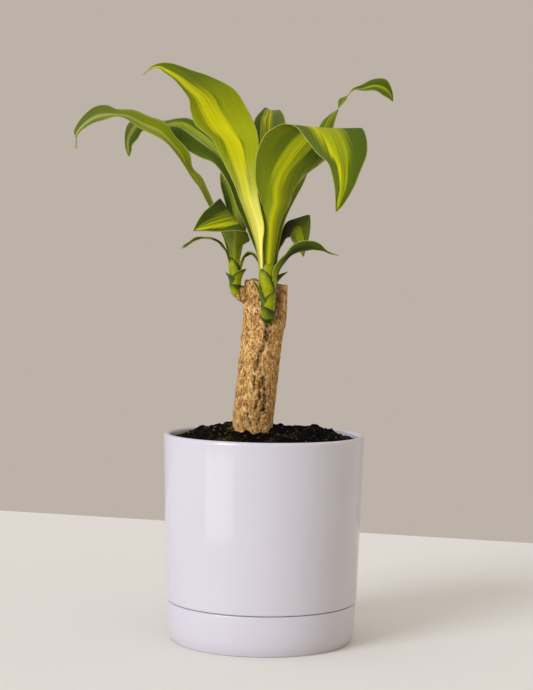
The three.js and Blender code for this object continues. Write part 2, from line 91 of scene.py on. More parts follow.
# Adds one node: inputs holds constants or other nodes' outputs, stops a ramp's (place, colour) pairs.
def addNode(tree, kind, inputs=None, stops=None, **settings):
    node = tree.nodes.new("ShaderNode" + kind)
    for name, setting in settings.items():
        setattr(node, name, setting)
    for socket, value in (inputs or {}).items():
        if isinstance(value, bpy.types.NodeSocket):
            tree.links.new(value, node.inputs[socket])
        else:
            node.inputs[socket].default_value = value
    if stops:
        elements = node.color_ramp.elements
        elements[0].position, elements[1].position = stops[0][0], stops[-1][0]
        for place, _ in stops[1:-1]:
            elements.new(place)
        for element, (_, colour) in zip(elements, stops):
            element.color = linear(colour) if isinstance(colour, str) else [colour] * 3 + [1]
    return node


def newMaterial(name):
    material = bpy.data.materials.new(name)
    material.use_nodes = True
    material.node_tree.nodes.clear()
    return material, material.node_tree


def finishMaterial(tree, inputs):
    surface = addNode(tree, "BsdfPrincipled", inputs)
    addNode(tree, "OutputMaterial", {"Surface": surface.outputs["BSDF"]})


def mixed(tree, share, first, second, blend="MIX"):
    node = addNode(tree, "Mix", {0: share, 6: first, 7: second}, data_type="RGBA", blend_type=blend)
    return node.outputs[2]


def addObject(name, bm, *materials, smooth=True):
    mesh = bpy.data.meshes.new(name)
    bm.to_mesh(mesh)
    bm.free()
    for material in materials:
        mesh.materials.append(material)
    if smooth:
        mesh.shade_smooth()
    thing = bpy.data.objects.new(name, mesh)
    bpy.context.scene.collection.objects.link(thing)
    return thing


def standsFor(piece, slot, *nodes):
    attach(piece, "root")
    if nodes:
        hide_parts(*nodes)


def smoothStep(low, high, value):
    share = min(1, max(0, (value - low) / (high - low)))
    return share * share * (3 - 2 * share)


def mixNumbers(a, b, share):
    return a + (b - a) * share


# The point at a share, 0 to 1, of a smooth curve through the points, which are evenly timed.
def along(points, share):
    place = min(share, 1) * (len(points) - 1)
    low = max(0, min(int(place), len(points) - 2))
    t = place - low
    p1, p2 = points[low], points[low + 1]
    p0 = points[low - 1] if low > 0 else p1 * 2 - p2
    p3 = points[low + 2] if low + 2 < len(points) else p2 * 2 - p1
    m1, m2 = (p2 - p0) * 0.5, (p3 - p1) * 0.5
    return p1 + m1 * t + (p2 * 3 - p1 * 3 - m1 * 2 - m2) * t**2 + (p1 * 2 - p2 * 2 + m1 + m2) * t**3


def addSun(name, rays, strength, spread, colour):
    sun = bpy.data.lights.new(name, "SUN")
    sun.energy, sun.angle, sun.color = strength, math.radians(spread), linear(colour)[:3]
    sunObject = bpy.data.objects.new(name, sun)
    sunObject.rotation_euler = rays.to_track_quat("-Z", "Y").to_euler()
    bpy.context.scene.collection.objects.link(sunObject)


def makeStudio():
    scene = bpy.context.scene
    scene.view_settings.view_transform = "Standard"
    world = bpy.data.worlds.new("paleRoom")
    world.use_nodes = True
    world.node_tree.nodes["Background"].inputs["Color"].default_value = linear(light["wall"])
    scene.world = world

    lens = bpy.data.cameras.new("camera")
    lens.lens, lens.sensor_width = camera["lens"], camera["sensor"]
    lens.clip_start, lens.clip_end = camera["nearest"] * mm, camera["farthest"] * mm
    view = bpy.data.objects.new("camera", lens)
    tilt = Matrix.Rotation(math.radians(90 - camera["pitch"]), 4, "X")
    roll = Matrix.Rotation(math.radians(camera["roll"]), 4, "Z")
    view.matrix_world = Matrix.Translation(Vector(camera["place"]) * mm) @ tilt @ roll
    scene.collection.objects.link(view)
    scene.camera = view

    heading, height = math.radians(light["sunHeading"]), math.radians(light["sunHeight"])
    level = math.cos(height)
    rays = Vector((math.cos(heading) * level, math.sin(heading) * level, -math.sin(height)))
    fill = math.radians(light["fillHeading"])
    fillRays = Vector((math.cos(fill), math.sin(fill), -light["fillDrop"]))
    down = Vector((0, 0, -1))
    addSun("windowLight", rays, light["sunStrength"], light["sunSpread"], light["sunColour"])
    addSun("ceilingLight", down, light["skyStrength"], light["skySpread"], light["skyColour"])
    addSun("roomFill", fillRays, light["fillStrength"], light["fillSpread"], light["wall"])

    box = bpy.data.lights.new("smallSoftbox", "AREA")
    box.shape = "RECTANGLE"
    box.size, box.size_y = light["boxSize"][0] * mm, light["boxSize"][1] * mm
    box.energy = light["boxPower"]
    boxObject = bpy.data.objects.new("smallSoftbox", box)
    place = Vector(light["boxPlace"]) * mm
    facing = Vector((-place.x, -place.y, 0))
    boxObject.location = place
    boxObject.rotation_euler = facing.to_track_quat("-Z", "Y").to_euler()
    boxObject.visible_diffuse = False
    scene.collection.objects.link(boxObject)


# A matt painted table top, cut off behind where the wall begins.
def makeFloor():
    material, tree = newMaterial("paintedTable")
    finishMaterial(tree, {"Base Color": linear(floor["colour"]), "Roughness": 0.9, "Specular IOR Level": 0})
    bm = bmesh.new()
    bmesh.ops.create_grid(bm, x_segments=1, y_segments=1, size=floor["halfWidth"] * mm)
    left, right = [Vector((*point, 0)) * mm for point in floor["backEdge"]]
    behind = Vector((0, 0, 1)).cross(right - left)
    geometry = bm.verts[:] + bm.edges[:] + bm.faces[:]
    bmesh.ops.bisect_plane(bm, geom=geometry, plane_co=left, plane_no=behind, clear_outer=True)
    addObject("floor", bm, material, smooth=False)


# Pot and saucer. Corners of each profile are (radius, height, rounding), outside first and then the inside.
pot = {
    "corners": [
        (9, 8.6, 0.8), (76, 8.6, 3), (76, 36, 0), (85.3, 36, 1.5), (90, 184.5, 2.7),
        (84.6, 184.5, 2.3), (80, 43.2, 5), (70.7, 32.2, 3), (70, 14.6, 3), (9, 14.6, 0.8),
    ],
    "around": 192,
    "roundSteps": 5,
}
saucer = {
    "corners": [
        (0, 1, 0), (77, 1, 0.5), (78, 0, 0.4), (80.3, 0, 1), (84, 7.5, 5), (84.8, 35.5, 1.1),
        (80.8, 35.5, 1.2), (80, 8, 4), (0, 8, 0),
    ],
    "around": 192,
    "roundSteps": 5,
}


# Whether an edge lies on a profile corner's ring.
def onRing(edge, radius, height):
    near = 10 * weld
    for vert in edge.verts:
        if abs(math.hypot(vert.co.x, vert.co.y) - radius * mm) > near or abs(vert.co.z - height * mm) > near:
            return False
    return True


# Spins a profile round the Z axis, then rounds each ring that has a rounding.
def spunBody(dish, closed):
    corners = dish["corners"]
    bm = bmesh.new()
    spots = [bm.verts.new((radius * mm, 0, height * mm)) for radius, height, _ in corners]
    profile = [bm.edges.new(pair) for pair in zip(spots, spots[1:])]
    if closed:
        profile.append(bm.edges.new((spots[-1], spots[0])))
    bmesh.ops.spin(
        bm, geom=spots + profile, axis=(0, 0, 1), cent=(0, 0, 0), angle=2 * math.pi,
        steps=dish["around"], use_merge=True,
    )
    bmesh.ops.remove_doubles(bm, verts=bm.verts[:], dist=weld)
    bmesh.ops.recalc_face_normals(bm, faces=bm.faces[:])
    for radius, height, rounding in corners:
        if rounding:
            ring = [edge for edge in bm.edges if onRing(edge, radius, height)]
            bmesh.ops.bevel(
                bm, geom=ring, offset=rounding * mm, segments=dish["roundSteps"], profile=0.5,
                affect="EDGES", material=-1,
            )
    return bm


# Glossy stoneware glaze, dipped and fired: a clean lavender white with the faint orange-peel that
# bends reflections a little, drawn coarser than it is. Near the foot it is painted a shade darker, as
# painted shade low down by the floor.
def glazeMaterial():
    material, tree = newMaterial("glazedStoneware")
    spot = addNode(tree, "TexCoord").outputs["Object"]
    cloud = addNode(tree, "TexNoise", {"Vector": spot, "Scale": grainsOf(110), "Detail": 3}).outputs["Fac"]
    tone = addNode(tree, "ValToRGB", {"Fac": cloud}, [(0.3, "#c7c3c6"), (0.7, "#cbc7ca")]).outputs["Color"]
    height = addNode(tree, "SeparateXYZ", {"Vector": spot}).outputs["Z"]
    foot = addNode(tree, "MapRange", {"Value": height, "From Max": 0.045}).outputs["Result"]
    # painted shade: the glaze turns a shade darker towards the floor, over the saucer and the pot's foot
    paintedLowShade = addNode(tree, "ValToRGB", {"Fac": foot}, [(0.1, "#f9f8f8"), (1, "#ffffff")]).outputs["Color"]
    tone = mixed(tree, 1, tone, paintedLowShade, "MULTIPLY")
    peel = addNode(tree, "TexNoise", {"Vector": spot, "Scale": grainsOf(6.25), "Detail": 2}).outputs["Fac"]
    bump = addNode(tree, "Bump", {"Height": peel, "Strength": 0.06, "Distance": 0.0004}).outputs["Normal"]
    rough = addNode(tree, "MapRange", {"Value": cloud, "To Min": 0.1, "To Max": 0.15}).outputs["Result"]
    finishMaterial(tree, {"Base Color": tone, "Roughness": rough, "IOR": 1.5, "Normal": bump})
    return material


def makePotAndSaucer():
    glaze = glazeMaterial()
    standsFor(addObject("glazed_pot", spunBody(pot, True), glaze), "white_glaze", "pot")
    standsFor(addObject("glazed_saucer", spunBody(saucer, False), glaze), "white_glaze", "saucer")


# Cane. Stations are (x, y, z, radius) from the root end to the sawn top, and cracks are lines of (x, z)
# seen from the front, with their width and depth.
cane = {
    "stations": [
        (-11, 0, 92, 17.6), (-11, 0, 150, 18.6), (-11, 0, 178, 18.9), (-10.4, 0, 195, 18.6),
        (-8.6, 0, 214, 18.3), (-5.6, 0, 248, 18.5), (-3.6, 0, 271, 18.5), (-1.6, 0, 285, 19.4),
        (-1.1, 0, 301, 19.7), (-0.9, 0, 309, 19.5), (0, 0, 320, 18.6),
    ],
    "around": 170,
    "along": 300,
    "sideEnds": 0.95,  # beyond this share of its rows the grid crosses the sawn top
    # the cut starts to level the side at from, and bark gives way to wood within barkEdge of the rim
    "saw": {"from": 0.85, "slope": -0.12, "ripple": 0.5, "dish": 0.3, "barkEdge": (0.08, 0.2)},
    "splinter": {"height": 2.2, "turn": 2.2, "width": 0.25},  # left standing at the top's edge, in radians
    "cracks": [
        {
            "line": [(3, 290), (1, 284), (0, 273), (-2, 263), (-5, 257), (-7, 249), (-9, 243)],
            "width": 2.2, "depth": 1.9,
        },
        {"line": [(5, 286), (3, 276), (1, 268)], "width": 1.3, "depth": 1},
        {"line": [(-9, 237), (-10, 232), (-9, 226)], "width": 1.5, "depth": 1.2},
        {"line": [(-4, 231), (-5, 225), (-4, 217)], "width": 1.5, "depth": 1.2},
        {"line": [(-1, 236), (-1, 228), (0, 223), (1, 212), (0, 206)], "width": 1.9, "depth": 1.6},
        {"line": [(-4, 219), (-7, 212), (-8, 208)], "width": 1.6, "depth": 1.4},
        {"line": [(-2, 206), (-4, 200), (-5, 194)], "width": 1.7, "depth": 1.3},
        {"line": [(-15.5, 204), (-14, 198), (-12, 193)], "width": 1.9, "depth": 1.4},
        {"line": [(0, 220), (1.1, 216), (0.3, 212), (-0.5, 208)], "width": 2.1, "depth": 1.8},
    ],
    # the hollow beside the front stem is sunk a little and painted dark as that stem's shadow on the cane
    "hollowAndStemShadow": {"line": [(11.5, 318), (10.5, 305), (9.5, 290)], "width": 4.4, "depth": 1.3},
}
# Sizes are (round the cane, along it), and heights how far each stands out, in millimetres.
bark = {
    "lumps": {"size": (14, 22), "height": 0.5},
    # hollows sets how dark the painted shade between the knobs grows
    "knobs": {"size": (3.4, 5), "height": 0.42, "shift": (9, 3, 1), "hollowShade": 0.9},
    "grain": {"size": (1.5, 2.6), "height": 0.25},
    "fissures": {"size": (5.2, 24), "width": 0.075, "depth": 1},  # on the sides and back
    "wander": {"size": 4, "height": 0.8},  # how far a crack strays from its line
    "octaves": 3,
}
stub = {
    "stations": [(-10, -2, 304, 8), (-17, -5, 307.2, 7.6), (-23, -8, 310, 6.6), (-27, -9.5, 312, 5.6)],
    "around": 60,
    "along": 40,
}


def distanceToLine(x, z, line):
    nearest = 1e9
    for (ax, az), (bx, bz) in zip(line, line[1:]):
        dx, dz = bx - ax, bz - az
        share = min(1, max(0, ((x - ax) * dx + (z - az) * dz) / (dx * dx + dz * dz)))
        nearest = min(nearest, math.hypot(x - ax - dx * share, z - az - dz * share))
    return nearest


# The spot as the noise functions take it, in units of that layer's size.
def inGrain(spot, layer):
    around, upwards = bark[layer]["size"]
    return Vector((spot.x / around, spot.y / around, spot.z / upwards))


# Millimetres that the bark stands out or lies back at a place, and how much painted shade darkens it
# there, 0 to 1, in the hollows between knobs, in fissures and cracks and in the stem's painted shadow.
# facing is the y of the outward direction, so it is -1 at the front and 1 at the back.
def barkAt(spot, facing):
    knob, fissure = bark["knobs"], bark["fissures"]
    lumps = noise.fractal(inGrain(spot, "lumps"), 1, 2, bark["octaves"])
    knobs = noise.fractal(inGrain(spot, "knobs") + Vector(knob["shift"]), 1, 2, bark["octaves"])
    grain = noise.noise(inGrain(spot, "grain"))
    out = bark["lumps"]["height"] * lumps + knob["height"] * knobs + bark["grain"]["height"] * grain
    # painted shade in the low places between the knobs
    paintedShade = knob["hollowShade"] * smoothStep(-0.45, -1.05, knobs + 0.4 * grain)
    field = noise.noise(inGrain(spot, "fissures"))
    # painted shade in the fissures on the sides and back
    split = math.exp(-((field / fissure["width"]) ** 2)) * smoothStep(-0.4, 0.3, facing)
    split *= 0.6 + 0.9 * grain
    out -= fissure["depth"] * split
    paintedShade = max(paintedShade, min(1, split))
    if facing < 0.2:
        stray, hollowAndStemShadow = bark["wander"], cane["hollowAndStemShadow"]
        wander = stray["height"] * noise.noise(Vector((spot.x / stray["size"], 5, spot.z / stray["size"])))
        # painted shade along each crack, darkest on its line
        for crack in cane["cracks"]:
            away = distanceToLine(spot.x + wander, spot.z, crack["line"]) / crack["width"]
            cut = math.exp(-away * away) * smoothStep(0.2, -0.5, facing) * (0.7 + 0.8 * grain)
            out -= crack["depth"] * cut
            paintedShade = max(paintedShade, min(1, cut))
        # painted shadow of the front stem, in the hollow beside it
        away = distanceToLine(spot.x + wander, spot.z, hollowAndStemShadow["line"]) / hollowAndStemShadow["width"]
        sunkAndShadowed = math.exp(-(away**4)) * smoothStep(0.2, -0.3, facing)
        out -= hollowAndStemShadow["depth"] * sunkAndShadowed
        paintedShade = max(paintedShade, sunkAndShadowed * (0.55 + 0.4 * grain))
    return out, paintedShade


# A tube of stations, from a grid rolled round and joined along its seam, with its ends closed. shape
# turns each place on the grid into a point, how much painted shade darkens it and how far it belongs to a
# sawn face.
def rolledTube(piece, shape):
    stations = piece["stations"]
    spots = [Vector(station[:3]) for station in stations]
    girths = [Vector((station[3], 0, 0)) for station in stations]
    bm = bmesh.new()
    bmesh.ops.create_grid(bm, x_segments=piece["around"], y_segments=piece["along"], size=0.5)
    shade = bm.verts.layers.float.new("paintedShade")
    sawn = bm.verts.layers.float.new("sawn")
    for vert in bm.verts:
        turn, share = (vert.co.x + 0.5) * 2 * math.pi, vert.co.y + 0.5
        before, after = along(spots, max(0, share - 0.01)), along(spots, min(1, share + 0.01))
        upTheSide = share / piece.get("sideEnds", 1)
        centre, radius = along(spots, upTheSide), along(girths, upTheSide).x
        spot, vert[shade], vert[sawn] = shape(centre, (after - before).normalized(), radius, turn, share)
        vert.co = spot * mm
    bmesh.ops.remove_doubles(bm, verts=bm.verts[:], dist=weld)
    bmesh.ops.holes_fill(bm, edges=[edge for edge in bm.edges if edge.is_boundary], sides=0)
    bmesh.ops.recalc_face_normals(bm, faces=bm.faces[:])
    return bm


# The cane's side with its bark, cut off level at the top, and the sawn face that closes it.
def caneShape(centre, ahead, radius, turn, share):
    saw, splinter, sideEnds = cane["saw"], cane["splinter"], cane["sideEnds"]
    top = cane["stations"][-1][2]
    outward = Vector((math.cos(turn), math.sin(turn), 0))
    rim = centre + outward * radius
    out, paintedShade = barkAt(rim, outward.y)
    rim += outward * out
    if share > saw["from"]:
        cut = top + saw["slope"] * (rim.x - centre.x) + saw["ripple"] * noise.noise(outward * 2.5)
        cut += splinter["height"] * math.exp(-((turn - splinter["turn"]) / splinter["width"]) ** 2)
        rim.z = mixNumbers(rim.z, cut, smoothStep(saw["from"], sideEnds, share))
    if share <= sideEnds:
        return rim, paintedShade, 0
    inwards = smoothStep(0, 1, (share - sideEnds) / (1 - sideEnds))
    rim = rim.lerp(Vector((centre.x, centre.y, top)), inwards)
    rim.z += saw["ripple"] * noise.noise(Vector((rim.x / 3, rim.y / 3, 7))) * inwards
    rim.z -= saw["dish"] * smoothStep(0, 0.2, inwards)
    return rim, 0, smoothStep(*saw["barkEdge"], inwards)


# The stub of the side branch, with the same bark a little flatter.
def stubShape(centre, ahead, radius, turn, share):
    across = Vector((0, 1, 0)).cross(ahead).normalized()
    other = ahead.cross(across)
    outward = across * math.cos(turn) + other * math.sin(turn)
    spot = centre + outward * radius
    out, paintedShade = barkAt(spot, 1)
    return spot + outward * out * 0.8, paintedShade, 0


# Cork bark of a cut cane, cracked as it dried: tan and matt, with painted shade that turns it brown
# between its knobs and nearly black in the furrows. The sawn top shows gray-brown ends of fibre instead.
# The cork's own grain is under half a millimetre, and is drawn coarser so that it shows.
def barkMaterial():
    material, tree = newMaterial("crackedCorkBark")
    spot = addNode(tree, "TexCoord").outputs["Object"]
    paintedShade = addNode(tree, "Attribute", attribute_name="paintedShade").outputs["Fac"]
    long = addNode(tree, "Mapping", {"Vector": spot, "Scale": (1, 1, 0.6)}).outputs["Vector"]
    fine = addNode(tree, "TexNoise", {
        "Vector": long, "Scale": grainsOf(1.85), "Detail": 5, "Roughness": 0.72,
    }).outputs["Fac"]
    broad = addNode(tree, "TexNoise", {"Vector": spot, "Scale": grainsOf(7.7), "Detail": 3}).outputs["Fac"]
    tone = addNode(tree, "ValToRGB", {"Fac": fine}, [
        (0.34, "#553d16"), (0.42, "#a17a3d"), (0.51, "#cfa15f"), (0.61, "#f0cc88"),
    ]).outputs["Color"]
    pits = addNode(tree, "TexNoise", {"Vector": spot, "Scale": grainsOf(1), "Detail": 2}).outputs["Fac"]
    pitStops = [(0.33, "#6b5026"), (0.43, "#ffffff")]
    pitTone = addNode(tree, "ValToRGB", {"Fac": pits}, pitStops).outputs["Color"]
    tone = mixed(tree, 0.75, tone, pitTone, "MULTIPLY")
    patch = addNode(tree, "ValToRGB", {"Fac": broad}, [(0.36, "#b8a078"), (0.6, "#ffffff")]).outputs["Color"]
    tone = mixed(tree, 0.7, tone, patch, "MULTIPLY")
    # painted shade: where the bark lies back it is darkened towards near black
    depth = addNode(tree, "ValToRGB", {"Fac": paintedShade}, [(0.1, 0), (0.9, 1)]).outputs["Color"]
    tone = mixed(tree, depth, tone, linear("#2f210e"))
    fibre = addNode(tree, "ValToRGB", {"Fac": fine}, [(0.38, "#6d5734"), (0.6, "#c3a87a")]).outputs["Color"]
    cut = addNode(tree, "Attribute", attribute_name="sawn").outputs["Fac"]
    tone = mixed(tree, cut, tone, fibre)
    bump = addNode(tree, "Bump", {"Height": fine, "Strength": 0.8, "Distance": 0.0008}).outputs["Normal"]
    finishMaterial(tree, {"Base Color": tone, "Roughness": 0.85, "Specular IOR Level": 0.2, "Normal": bump})
    return material


def makeCane():
    cork = barkMaterial()
    standsFor(addObject("bark_cane", rolledTube(cane, caneShape), cork), "bark", "cane")
    standsFor(addObject("bark_stub", rolledTube(stub, stubShape), cork), "bark", "cane")


# Potting mix: the mound follows the solid's own formula, and clods, chips and grains lie on it.
soil = {
    "edgeHeight": 179.5,
    "edgeRadius": 84.3,
    "mound": 10.8,
    "flatRadius": 46,
    "fallRadius": 84.7,
    "lean": 0.13,
    "dips": [(-12, -32, 2.6, 13), (24, 44, 5.2, 15), (-44, 20, 2, 9)],  # (x, y, depth, spread)
    "canePlace": (-10, 0),
    "caneRadius": 19,
    "collar": 2.6,  # how far the mix clings up the cane
    "collarSpread": 3.5,
    "lumps": [  # each a height, then the (x, y, shift) of its sine and of its cosine
        (1.5, (0.21, 0, 1.3), (0, 0.19, -0.4)),
        (1.1, (0.47, -0.31, 0), (0.12, 0.53, 2)),
    ],
    "clods": {"height": 1.2, "size": 7, "octaves": 5, "crumbSize": 2, "crumbs": 0.35},
    "rings": 150,
    "around": 420,
}


def fromCane(x, y):
    caneX, caneY = soil["canePlace"]
    return math.hypot(x - caneX, y - caneY)


def soilHeight(x, y):
    fromMiddle = math.hypot(x, y)
    rise = 1 - smoothStep(soil["flatRadius"], soil["fallRadius"], fromMiddle)
    heap = soil["mound"] + soil["lean"] * min(y, 0)
    for dipX, dipY, depth, spread in soil["dips"]:
        away = math.hypot(x - dipX, y - dipY) / spread
        heap -= depth * math.exp(-0.5 * away * away)
    fromBark = max(0, fromCane(x, y) - soil["caneRadius"])
    heap += soil["collar"] * math.exp(-fromBark / soil["collarSpread"]) * smoothStep(-14, 0, y)
    lumps = 0
    for height, sine, cosine in soil["lumps"]:
        first, second = [a * x + b * y + shift for a, b, shift in (sine, cosine)]
        lumps += height * (math.sin(first) * math.cos(second))
    return soil["edgeHeight"] + rise * heap + (0.35 + 0.65 * rise) * lumps


# The mound with the clods that lie on it.
def soilTop(x, y):
    clods, size = soil["clods"], soil["clods"]["size"]
    inside = 1 - smoothStep(0.94, 1, math.hypot(x, y) / soil["edgeRadius"])
    crumbs = abs(noise.noise(Vector((x / clods["crumbSize"], y / clods["crumbSize"], 4))))
    rough = noise.fractal(Vector((x / size, y / size, 0)), 1, 2, clods["octaves"]) + clods["crumbs"] * crumbs
    return soilHeight(x, y) + clods["height"] * rough * inside


# Damp peat mix: nearly black and matt, with brown fibre showing in places, a little larger than life.
def peatMaterial():
    material, tree = newMaterial("dampPeat")
    spot = addNode(tree, "TexCoord").outputs["Object"]
    fleck = addNode(tree, "TexNoise", {
        "Vector": spot, "Scale": grainsOf(1.92), "Detail": 4, "Roughness": 0.7,
    }).outputs["Fac"]
    area = addNode(tree, "TexNoise", {"Vector": spot, "Scale": grainsOf(25), "Detail": 2}).outputs["Fac"]
    both = addNode(tree, "Math", {0: fleck, 1: area}, operation="MULTIPLY").outputs["Value"]
    tone = addNode(tree, "ValToRGB", {"Fac": both}, [
        (0.24, "#060505"), (0.31, "#0f0c07"), (0.37, "#3b2f14"), (0.43, "#6e5d30"),
    ]).outputs["Color"]
    bump = addNode(tree, "Bump", {"Height": fleck, "Strength": 0.8, "Distance": 0.001}).outputs["Normal"]
    finishMaterial(tree, {"Base Color": tone, "Roughness": 0.9, "Specular IOR Level": 0.04, "Normal": bump})
    return material


# Chips of composted bark, split and brown, and grains of expanded perlite, chalky white.
def grainMaterial(name, low, high):
    material, tree = newMaterial(name)
    spot = addNode(tree, "TexCoord").outputs["Object"]
    grain = addNode(tree, "TexNoise", {"Vector": spot, "Scale": grainsOf(3.3), "Detail": 3}).outputs["Fac"]
    tone = addNode(tree, "ValToRGB", {"Fac": grain}, [(0.4, low), (0.6, high)]).outputs["Color"]
    bump = addNode(tree, "Bump", {"Height": grain, "Strength": 0.5, "Distance": 0.0004}).outputs["Normal"]
    finishMaterial(tree, {"Base Color": tone, "Roughness": 0.9, "Specular IOR Level": 0.05, "Normal": bump})
    return material


# Lumps of each kind that lie on the mix: how many are thrown, their half lengths, their half thickness
# as a share of that (flat), and how high their middle lies as a share of the half thickness (raised).
mixGrains = {
    "bark_chips": {"count": 520, "sizes": (0.6, 1.9), "flat": (0.3, 0.7), "raised": 0.25},
    "perlite_grains": {"count": 46, "sizes": (0.3, 0.6), "flat": (0.7, 1), "raised": 0.1},
}
strewing = {"radius": 82, "fromCane": 21, "tilt": 0.6, "turn": 6.3, "slim": (0.4, 0.8)}  # angles in radians


# Strews small lumps over the soil, each with its own size, tilt and turn. Those that fall where the cane
# stands are left out.
def strewn(grains):
    bm = bmesh.new()
    for _ in range(grains["count"]):
        turn, radius = draw.uniform(0, 2 * math.pi), strewing["radius"] * math.sqrt(draw.random())
        x, y = radius * math.cos(turn), radius * math.sin(turn)
        size, flat = draw.uniform(*grains["sizes"]), draw.uniform(*grains["flat"])
        tilt = Matrix.Rotation(draw.uniform(-strewing["tilt"], strewing["tilt"]), 4, "X")
        tilt @= Matrix.Rotation(draw.uniform(0, strewing["turn"]), 4, "Z")
        if fromCane(x, y) > strewing["fromCane"]:
            lumpHeight = soilTop(x, y) + size * flat * grains["raised"]
            place = Matrix.Translation(Vector((x, y, lumpHeight)) * mm)
            width = size * draw.uniform(*strewing["slim"])
            shape = Matrix.Diagonal((size * mm, width * mm, size * flat * mm, 1))
            bmesh.ops.create_icosphere(bm, subdivisions=1, radius=1, matrix=place @ tilt @ shape)
    return bm


def makeSoil():
    bm = bmesh.new()
    bmesh.ops.create_grid(bm, x_segments=soil["around"], y_segments=soil["rings"], size=0.5)
    for vert in bm.verts:
        turn, radius = (vert.co.x + 0.5) * 2 * math.pi, (vert.co.y + 0.5) * soil["edgeRadius"]
        x, y = radius * math.cos(turn), radius * math.sin(turn)
        vert.co = Vector((x, y, soilTop(x, y))) * mm
    bmesh.ops.remove_doubles(bm, verts=bm.verts[:], dist=weld)
    bmesh.ops.recalc_face_normals(bm, faces=bm.faces[:])
    if bm.faces[0].normal.z < 0:
        bmesh.ops.reverse_faces(bm, faces=bm.faces[:])
    standsFor(addObject("potting_mix", bm, peatMaterial()), "potting_mix", "soil")
    chips = grainMaterial("compostedBarkChips", "#0c0906", "#4f411f")
    perlite = grainMaterial("expandedPerlite", "#8f8778", "#c9c2b2")
    for name, material in (("bark_chips", chips), ("perlite_grains", perlite)):
        standsFor(addObject(name, strewn(mixGrains[name]), material, smooth=False), "potting_mix", "soil")


# Shoot stems. Each sheath is a leaf base that clasps the stem. It starts at base and ends in a rim
# between low and high; tip is where the rim is highest, in degrees round the stem, sharp how quickly it
# falls away beside that, flare how far it leans out there, narrow how soon that lean fades beside it,
# and lift how far it stands off the core.
shoots = {
    "front_shoot_stem": {
        "core": [
            (1.6, -22, 283.5, 1.8), (1.6, -24.5, 287, 3.7), (1.4, -26, 293, 4.5), (1, -27, 303, 5),
            (0.4, -27, 316, 6), (0.6, -26.6, 326, 6.8), (1.2, -26, 333, 6.6), (1.2, -26, 336, 4),
        ],
        "sheaths": [
            {"base": 302, "low": 306, "high": 332.6, "tip": 192, "sharp": 0.42, "flare": 0.5, "lift": 0.9},
            {
                "base": 304, "low": 311, "high": 329.5, "tip": -6, "sharp": 2.2, "flare": 10.8, "narrow": 5,
                "lift": 0.3, "skin": "dry",
            },
            {
                "base": 296, "low": 302, "high": 322, "tip": 194, "sharp": 6, "flare": 6, "lift": 1.1,
                "skin": "paintedShade",
            },
            {"base": 290, "low": 300.2, "high": 313, "tip": -14, "sharp": 0.9, "flare": 0.6, "lift": 1.3},
            {
                "base": 286, "low": 294.3, "high": 300.2, "tip": 165, "sharp": 0.6, "flare": 0.2, "lift": 1.3,
                "skin": "olive",
            },
            {
                "base": 283.8, "low": 287.7, "high": 304, "tip": 76, "sharp": 1, "flare": 0.2, "lift": 1.5,
                "skin": "paintedShade",
            },
        ],
    },
    "side_shoot_stem": {
        "core": [
            (-26.4, -10.5, 306.5, 1.8), (-27, -11, 309.5, 3.3), (-28, -11.2, 315, 3.9),
            (-28.2, -11.2, 322, 4.1), (-28.4, -11.2, 329, 4.4), (-28.6, -11, 334, 4.8),
            (-28.8, -10.6, 339, 4.6), (-29, -10, 343, 2.6),
        ],
        "sheaths": [
            {"base": 316, "low": 323, "high": 342, "tip": 196, "sharp": 0.42, "flare": 0.6, "lift": 0.7},
            {
                "base": 313, "low": 318.2, "high": 328, "tip": 200, "sharp": 2.2, "flare": 3.6, "lift": 0.8,
                "skin": "paintedShade",
            },
            {"base": 312, "low": 319.5, "high": 331.4, "tip": -24, "sharp": 1.3, "flare": 5, "lift": 1},
            {"base": 306.8, "low": 317.2, "high": 318.6, "tip": 170, "sharp": 1, "flare": 0.2, "lift": 1.1},
        ],
    },
}
sheathGrid = {
    "around": 72,
    "along": 26,
    "wrap": 372,  # degrees round the stem, so that its two edges overlap
    "overlap": 0.35,
    "thickness": 0.45,
    "liftWithin": (-0.2, 0.25),
    "narrow": 2,
}


# The core's centre and radius at a height.
def coreAt(core, height):
    for (ax, ay, az, aRadius), (bx, by, bz, bRadius) in zip(core, core[1:]):
        if height <= bz:
            share = max(0, (height - az) / (bz - az))
            return mixNumbers(ax, bx, share), mixNumbers(ay, by, share), mixNumbers(aRadius, bRadius, share)
    return core[-1][0], core[-1][1], core[-1][3]


def coreShape(centre, ahead, radius, turn, share):
    return centre + Vector((math.cos(turn), math.sin(turn), 0)) * radius, 0, 0


def makeSheath(name, core, sheath, materials):
    bm = bmesh.new()
    bmesh.ops.create_grid(bm, x_segments=sheathGrid["around"], y_segments=sheathGrid["along"], size=0.5)
    below = bm.verts.layers.float.new("belowRim")
    around = bm.verts.layers.float.new("aroundStem")
    for vert in bm.verts:
        side, share = vert.co.x * 2, vert.co.y + 0.5
        turn = side * math.radians(sheathGrid["wrap"]) / 2
        toTip = (0.5 + 0.5 * math.cos(turn)) ** sheath["sharp"]
        rim = mixNumbers(sheath["low"], sheath["high"], toTip)
        height = mixNumbers(sheath["base"], rim, share)
        x, y, radius = coreAt(core, height)
        radius += sheath["lift"] * smoothStep(*sheathGrid["liftWithin"], share)
        radius += sheathGrid["overlap"] * side * share
        radius += sheath["flare"] * toTip ** sheath.get("narrow", sheathGrid["narrow"]) * share**3
        angle = math.radians(sheath["tip"]) + turn
        vert.co = Vector((x + radius * math.cos(angle), y + radius * math.sin(angle), height)) * mm
        vert[below], vert[around] = (rim - height) / 10, side  # centimetres, and -1 to 1
    bmesh.ops.recalc_face_normals(bm, faces=bm.faces[:])
    sheathObject = addObject(name, bm, *materials)
    solid = sheathObject.modifiers.new("thickness", "SOLIDIFY")
    solid.thickness, solid.offset = sheathGrid["thickness"] * mm, -1
    solid.material_offset_rim = 1
    return sheathObject
